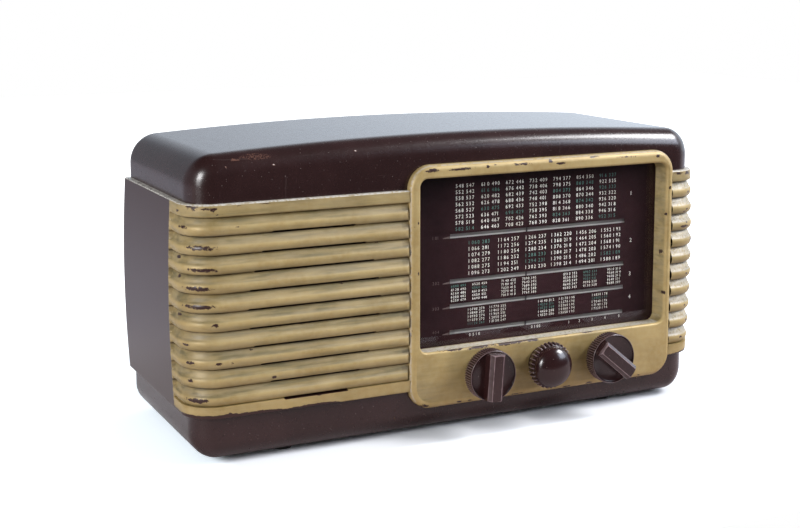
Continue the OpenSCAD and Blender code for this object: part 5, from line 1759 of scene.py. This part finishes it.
class BarKnob(Knob):
    """A knob with a bar across its face."""

    BEVEL = 2.7
    TEETH, DEPTH = 64, 1.2
    VOLUME_TILT, BAND_TILT = 4, -50

    def build(self, name: str, body: str, node: str, tilt: float) -> bpy.types.Object:
        """Builds the knob.

        Args:
            name: the piece's name.
            body: the body that it rides.
            node: the CAD node that it stands for.
            tilt: the bar's turn from upright in degrees.

        Returns:
            The piece.
        """
        s = self.sizes
        r, back, face = s.radius, s.back_y, s.face_y
        rows = [(3.1, back + 0.3, 0), (14.8, back + 0.3, 0), (15.2, back, 0), (15.6, s.rim_y + 0.4, 0),
                (r - 1.6, s.rim_y + 0.2, 0), (r - 0.4, s.rim_y, 0.8), (r - 0.1, s.rim_y - 0.6, 1),
                (r - 0.05, s.rim_y - 4, 1), (r, face + 1.6, 1), (r - 0.15, face + 0.9, 0.7),
                (r - 0.25, face + 0.7, 0), (r - 0.3, face + 0.4, 0), (r - 0.5, face + 0.1, 0),
                (r - 0.75, face, 0), (r - 1.0, face + 0.12, 0), (r - 1.2, face + 0.5, 0),
                (r - 1.5, face + 1.1, 0), (r - 2.3, face + 1.5, 0), (r - 9, face + 1.9, 0),
                (2, face + 1.9, 0)]
        self.knurl(self.TEETH, self.DEPTH, rows)
        self.bar(tilt)
        return self.finish(name, body, node)

    def bar(self, tilt: float) -> None:
        """Adds the bar: a flat crown with hollow flanks and sloping ends.

        Args:
            tilt: its turn from upright in degrees.
        """
        s = self.sizes
        foot_y, top_y = s.face_y + 1.9, s.bar_y
        half_foot, half_top = s.bar_foot / 2, s.bar_top / 2
        brow, brow_y = half_top + self.BEVEL, top_y + self.BEVEL
        # Each point of the section: across, depth, rise toward the crown, and how much lighter it is, as wear
        # and a painted highlight.
        flank = [(half_foot, foot_y, 0.0, 0.0), (half_foot - 0.1, foot_y - 1.2, 0.1, 0.0),
                 (brow + 0.2, brow_y + 1.2, 0.5, 0.0), (brow + 0.1, brow_y + 0.35, 0.6, 0.2),
                 (brow + 0.02, brow_y + 0.05, 0.62, 0.9), (brow - 0.2, brow_y - 0.22, 0.66, 0.2),
                 (half_top + 0.35, top_y + 0.4, 0.95, 0.1), (half_top + 0.12, top_y + 0.14, 0.98, 1.0),
                 (half_top - 0.15, top_y + 0.01, 1.0, 0.9), (half_top - 0.5, top_y, 1.0, 0.0)]
        section = flank + [(0.0, top_y, 1.0, 0.0)] + [(-x, *rest) for x, *rest in reversed(flank)]
        across, depth, rise, edge = (np.array(column) for column in zip(*section))
        limit = np.sqrt((s.radius - 0.35 - 0.4 * rise) ** 2 - across ** 2)
        high, low = limit - 2.4 * rise ** 2, -limit + 0.9 * rise ** 2
        shares = np.concatenate([[0, 0.012], np.linspace(0.06, 0.94, 13), [0.988, 1]])
        points = np.stack([np.stack([across, depth, low + (high - low) * t], -1) for t in shares])
        turn = math.radians(tilt)
        x = points[..., 0] * math.cos(turn) + points[..., 2] * math.sin(turn)
        z = -points[..., 0] * math.sin(turn) + points[..., 2] * math.cos(turn)
        placed = np.stack([self.x + x, points[..., 1], self.z + z], -1)
        rim = (np.minimum(shares, 1 - shares) < 0.005)[:, None] * (rise > 0.7)
        edges = np.maximum(edge * np.ones((len(shares), 1)), rim)
        self.mesh.grid(placed, edge=edges)
        half = len(section) // 2
        for row in (0, -1):
            end, lit = placed[row], edges[row]
            self.mesh.grid(np.stack([end[:half + 1], end[::-1][:half + 1]]),
                           edge=np.stack([lit[:half + 1], lit[::-1][:half + 1]]))


class DomeKnob(Knob):
    """The tuning knob: a dome on a coarsely toothed ring."""

    RING, DOME, TALL, SEAT = 20.4, 18.2, 11.4, -26.4
    TEETH, DEPTH, PER_TOOTH, STEPS = 32, 1.9, 16, 120

    def build(self) -> bpy.types.Object:
        """Builds the knob.

        Returns:
            The piece.
        """
        s = self.sizes
        r, back, dome, tall, seat = self.RING, s.back_y, self.DOME, self.TALL, self.SEAT
        rows = [(3.1, back + 0.3, 0), (14.4, back + 0.3, 0), (14.8, back, 0), (15.2, s.rim_y + 0.8, 0),
                (r - 1.8, s.rim_y + 0.5, 0.2), (r - 0.5, s.rim_y, 0.9), (r, s.rim_y - 0.8, 1),
                (r, seat + 2.6, 1), (r - 0.2, seat + 1.7, 1), (r - 0.8, seat + 0.9, 0.85),
                (r - 1.4, seat + 0.4, 0.5), (r - 2.0, seat + 0.3, 0), (dome + 0.05, seat + 0.2, 0)]
        self.knurl(self.TEETH, self.DEPTH, rows, self.PER_TOOTH)
        profile = [(dome * math.cos(t), seat - tall * math.sin(t)) for t in np.linspace(0, QUARTER, 25)]
        profile[-1] = (0.01, profile[-1][1])
        self.mesh.turned([(dome, seat + 0.6)] + profile, self.x, self.z, self.STEPS)
        return self.finish("tuning_knob_skin", "tuning_shaft", "tuning_knob")


# The other pieces


class InnerParts:
    """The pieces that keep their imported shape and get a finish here."""

    FINISHES = {
        Finish.STEEL: ("frame_screws", "board_screws", "rear_cover_screws", "chassis_bolts", "glass_clips",
                       "pointer_rail", "control_nuts"),
        Finish.SHAFT: ("tuning_spindle", "volume_shaft", "band_shaft"),
        Finish.CLOTH: ("grille_cloth",), Finish.BOARD: ("speaker_baffle",), Finish.BACK: ("rear_cover",),
        Finish.RUBBER: ("feet", "cord_grommet"), Finish.GLASS: ("dial_glass",), Finish.CREAM: ("dial_plate",),
        Finish.BULB: ("dial_lamps",),
        Finish.BRASS: ("lamp_holders", "left_pulley", "right_pulley", "spindle_bush"),
        Finish.NEEDLE: ("pointer",), Finish.CORD: ("dial_cords",),
        Finish.PALE: ("tuning_drum", "voltage_plug"),
        Finish.LIGHT: ("gang_frame", "gang_stators", "gang_rotor"), Finish.CHASSIS: ("chassis",),
        Finish.LAMINATE: ("volume_control", "band_switch", "tag_board"),
        Finish.SOCKET: ("valve_sockets", "valve_bases", "plug_sockets", "voltage_selector"),
        Finish.CORE: ("mains_transformer_core", "output_transformer_core"),
        Finish.WINDING: ("mains_transformer_coil", "output_transformer_coil"),
        Finish.VALVE: ("small_valves", "output_valve", "rectifier_valve"),
        Finish.CAN: ("intermediate_cans", "reservoir_capacitor"), Finish.TUBE: ("coil_formers",),
        Finish.BASKET: ("speaker_frame",), Finish.MAGNET: ("speaker_magnet",), Finish.CONE: ("speaker_cone",),
        Finish.SOFT_PAPER: ("cone_surround", "dust_cap"), Finish.SPIDER: ("coil_spider",),
        Finish.WIRE: ("voice_coil",), Finish.FELT: ("knob_felts",),
    }
    ROUNDED = ("rear_cover", "plug_sockets", "voltage_selector", "voltage_plug", "rear_cover_screws", "feet",
               "cord_grommet")
    SHARP, ROUND_FROM = math.radians(30), math.radians(50)
    ROUND, ROUND_STEPS = 0.25 * MM, 2

    def dress(self, nodes: dict[str, bpy.types.Object]) -> None:
        """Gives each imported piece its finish, and the seen ones a small round on their edges.

        Args:
            nodes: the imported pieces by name.
        """
        for finish, names in self.FINISHES.items():
            for name in names:
                mesh = nodes[name].data
                mesh.materials.clear()
                mesh.materials.append(finish.get())
                mesh.shade_smooth()
                mesh.set_sharp_from_angle(angle=self.SHARP)
                log.info("dressed %s", name)
        for name in self.ROUNDED:
            soft = nodes[name].modifiers.new("round", "BEVEL")
            soft.width, soft.segments = self.ROUND, self.ROUND_STEPS
            soft.limit_method, soft.angle_limit = "ANGLE", self.ROUND_FROM


# Studio


@dataclass(frozen=True)
class Lamp:
    """A softbox: its middle and aim in metres, its size and its power in watts."""

    name: str
    at: tuple[float, float, float]
    aim: tuple[float, float, float]
    wide: float
    high: float
    power: float
    colour: Colour = (1.0, 1.0, 1.0)


class Studio:
    """The camera, the pale floor and the soft light."""

    LAMPS = (
        Lamp("key", (1.62, -0.74, 1.62), (0.1, 0.0, 0.15), 0.85, 0.7, 49.0, (0.98, 0.98, 1.0)),
        Lamp("low", (1.62, -1.15, 0.98), (0.1, 0.0, 0.15), 1.15, 0.8, 20.0, (0.86, 0.94, 1.1)),
        Lamp("left", (-1.5, -0.75, 0.72), (-0.2, 0.0, 0.15), 0.48, 0.5, 15.5),
        Lamp("left_low", (-1.5, -0.75, 0.35), (-0.2, 0.0, 0.15), 0.5, 0.5, 4.0),
    )
    # The camera, as fitted to the case's edges.
    LENS, SENSOR, SHIFT = 62.515, 36.0, -0.11125
    CAMERA, LOOKS_DOWN, LOOKS_RIGHT = (-0.5576, -1.0869, 0.3863), 8.08, 25.99
    # The surroundings: their colour and strength as light and in gloss, dim in front and overhead.
    WHITE = (1.0, 1.0, 1.0)
    SKY, SKY_SHINE = (0.97, 0.98, 1.0), (0.80, 0.90, 1.02)
    DIM_FROM, WHITE_FROM = -0.45, 0.1
    FRONT_LIGHT, BACK_LIGHT = 0.28, 0.55
    FRONT_SHINE, MIDDLE_SHINE, SHINE_SLOPE = 0.07, 0.42, 2.05
    LEAST_SHINE, MOST_SHINE = 0.32, 1.7
    HIGH_WHITE, HIGH_DARK, HIGH_SHINE = 0.35, 0.75, 0.12
    # The floor: its reach in metres, the object's half sizes on it, and its own looks.
    FLOOR_NEAR, FLOOR_SIDE, FLOOR_FAR = 0.34, 3.0, 3.5
    FOOT = (0.24, 0.085)
    FLOOR_DARK, FLOOR_LIGHT, FLOOR_GRAIN, FLOOR_ROUGH = (0.90, 0.925, 0.95), (0.93, 0.94, 0.955), 900, 0.7
    # Its colours in gloss, before, beside and behind the object: a painted shadow before it, painted light
    # beside it close by.
    FLOOR_FRONT, FLOOR_SIDE_NEAR, FLOOR_SIDE_FAR = (0.47, 0.40, 0.40), (0.98, 0.96, 1.0), (0.68, 0.69, 0.78)
    BACK_FROM, BACK_FULL, SIDE_FROM, SIDE_FULL = -0.08, 0.06, 0.08, 0.4
    # Its glow, by the distance from the object: faint beside it, earlier at its left, white far off.
    GLOW_FROM, GLOW_FULL, GLOW, GLOW_TINT = 0.0, 0.022, 0.58, (0.80, 0.92, 1.0)
    LEFT_FROM, LEFT_FULL, LEFT_LEAD = -0.20, -0.235, 0.03
    WHITE_NEAR, WHITE_FAR = 0.1, 0.5

    def build(self) -> None:
        """Builds the studio."""
        self.camera()
        self.floor()
        self.world()
        for lamp in self.LAMPS:
            self.lamp(lamp)
        bpy.context.scene.view_settings.view_transform = "Standard"

    def camera(self) -> None:
        """Places the camera where the photograph was taken from."""
        data = bpy.data.cameras.new("camera")
        data.lens, data.sensor_width, data.shift_y = self.LENS, self.SENSOR, self.SHIFT
        made = bpy.data.objects.new("camera", data)
        made.location = self.CAMERA
        made.rotation_euler = (math.radians(90 - self.LOOKS_DOWN), 0.0, math.radians(-self.LOOKS_RIGHT))
        bpy.context.scene.collection.objects.link(made)
        bpy.context.scene.camera = made

    def floor(self) -> None:
        """Lays the pale floor, which turns into the white of the surroundings away from the object."""
        mesh = bpy.data.meshes.new("floor")
        near, side, far = self.FLOOR_NEAR, self.FLOOR_SIDE, self.FLOOR_FAR
        corners = [(-side, -near, 0), (side, -near, 0), (side, far, 0), (-side, far, 0)]
        mesh.from_pydata(corners, [], [(0, 1, 2, 3)])
        made = bpy.data.objects.new("floor", mesh)
        bpy.context.scene.collection.objects.link(made)
        s = Surface("Floor")
        spot = s.add("ShaderNodeSeparateXYZ")
        s.put(spot.inputs[0], s.place())
        gaps = [s.math("MAXIMUM", s.math("SUBTRACT", s.math("ABSOLUTE", spot.outputs[axis]), half), 0.0)
                for axis, half in zip("XY", self.FOOT)]
        away = s.math("SQRT", s.math("ADD", *[s.math("MULTIPLY", gap, gap) for gap in gaps]))
        path = s.add("ShaderNodeLightPath")
        seen = s.math("MAXIMUM", path.outputs["Is Camera Ray"], path.outputs["Is Transmission Ray"])
        far = s.fade(away, self.WHITE_NEAR, self.WHITE_FAR)
        lead = s.fade(spot.outputs["X"], self.LEFT_FULL, self.LEFT_FROM, self.LEFT_LEAD, 0.0)
        near = s.fade(s.math("ADD", away, lead), self.GLOW_FROM, self.GLOW_FULL, 0.0, self.GLOW)
        white = s.math("MAXIMUM", near, far)
        pale = s.mix(s.noise(self.FLOOR_GRAIN), self.FLOOR_DARK, self.FLOOR_LIGHT)
        back = s.fade(spot.outputs["Y"], self.BACK_FROM, self.BACK_FULL)
        aside = s.fade(away, self.SIDE_FROM, self.SIDE_FULL)
        behind = s.mix(aside, self.FLOOR_SIDE_NEAR, self.FLOOR_SIDE_FAR)
        # Painted shadow before the object and painted light beside it, in the colour that the object sees.
        mirrored = s.mix(back, self.FLOOR_FRONT, behind)
        s.set(Base_Color=s.mix(path.outputs["Is Camera Ray"], mirrored, pale), Roughness=self.FLOOR_ROUGH,
              Specular_Ior_Level=0.1, Emission_Color=s.mix(far, self.GLOW_TINT, self.WHITE),
              Emission_Strength=s.math("MULTIPLY", seen, white))
        mesh.materials.append(s.material)

    def world(self) -> None:
        """Sets white surroundings behind the object, and dim ones on the camera's side of it."""
        world = bpy.data.worlds.new("World")
        bpy.context.scene.world = world
        world.use_nodes = True
        n = Nodes(world.node_tree)
        world.node_tree.nodes.clear()
        split = n.add("ShaderNodeSeparateXYZ")
        n.put(split.inputs[0], n.add("ShaderNodeTexCoord").outputs["Generated"])
        behind = n.fade(split.outputs["Y"], self.DIM_FROM, self.WHITE_FROM)
        path = n.add("ShaderNodeLightPath")
        through = n.math("MULTIPLY", path.outputs["Is Transmission Ray"], behind)
        seen = n.math("MAXIMUM", path.outputs["Is Camera Ray"], through)
        lit = n.mix_number(behind, self.FRONT_LIGHT, self.BACK_LIGHT)
        slope = n.math("MULTIPLY_ADD", split.outputs["X"], self.SHINE_SLOPE, self.MIDDLE_SHINE)
        slope = n.math("MINIMUM", n.math("MAXIMUM", slope, self.LEAST_SHINE), self.MOST_SHINE)
        high = n.fade(split.outputs["Z"], self.HIGH_DARK, self.HIGH_WHITE, self.HIGH_SHINE, 1.0)
        slope = n.math("MULTIPLY", slope, high)
        mirrored = n.mix_number(behind, self.FRONT_SHINE, slope)
        level = n.mix_number(path.outputs["Is Glossy Ray"], lit, mirrored)
        back = n.add("ShaderNodeBackground")
        sky = n.mix(path.outputs["Is Glossy Ray"], self.SKY, self.SKY_SHINE)
        n.put(back.inputs["Color"], n.mix(seen, sky, self.WHITE))
        n.put(back.inputs["Strength"], n.mix_number(seen, level, 1.0))
        end = n.add("ShaderNodeOutputWorld")
        n.put(end.inputs[0], back.outputs[0])

    def lamp(self, lamp: Lamp) -> None:
        """Hangs one softbox.

        Args:
            lamp: the lamp.
        """
        data = bpy.data.lights.new(lamp.name, "AREA")
        data.shape, data.size, data.size_y, data.energy = "RECTANGLE", lamp.wide, lamp.high, lamp.power
        data.color = lamp.colour
        made = bpy.data.objects.new(lamp.name, data)
        made.location = lamp.at
        made.rotation_euler = (Vector(lamp.aim) - Vector(lamp.at)).to_track_quat("-Z", "Y").to_euler()
        bpy.context.scene.collection.objects.link(made)


def main() -> None:
    """Builds the receiver and its studio, in order."""
    logging.basicConfig(level=logging.INFO, format="%(message)s")
    drawing = Drawing.read(CAB.depth)
    CabinetShell(drawing).build()
    for side in BandSide:
        RibbedBand(drawing, side).build()
    DialFrame(drawing).build()
    DialPrint(drawing).build()
    left, middle, right = FRAME.knobs_x
    BarKnob(drawing, left).build("volume_knob_skin", "volume", "volume_knob", BarKnob.VOLUME_TILT)
    DomeKnob(drawing, middle).build()
    BarKnob(drawing, right).build("band_knob_skin", "band", "band_knob", BarKnob.BAND_TILT)
    parts = InnerParts()
    parts.dress(frame["nodes"])
    Studio().build()


if __name__ == "__main__":
    main()
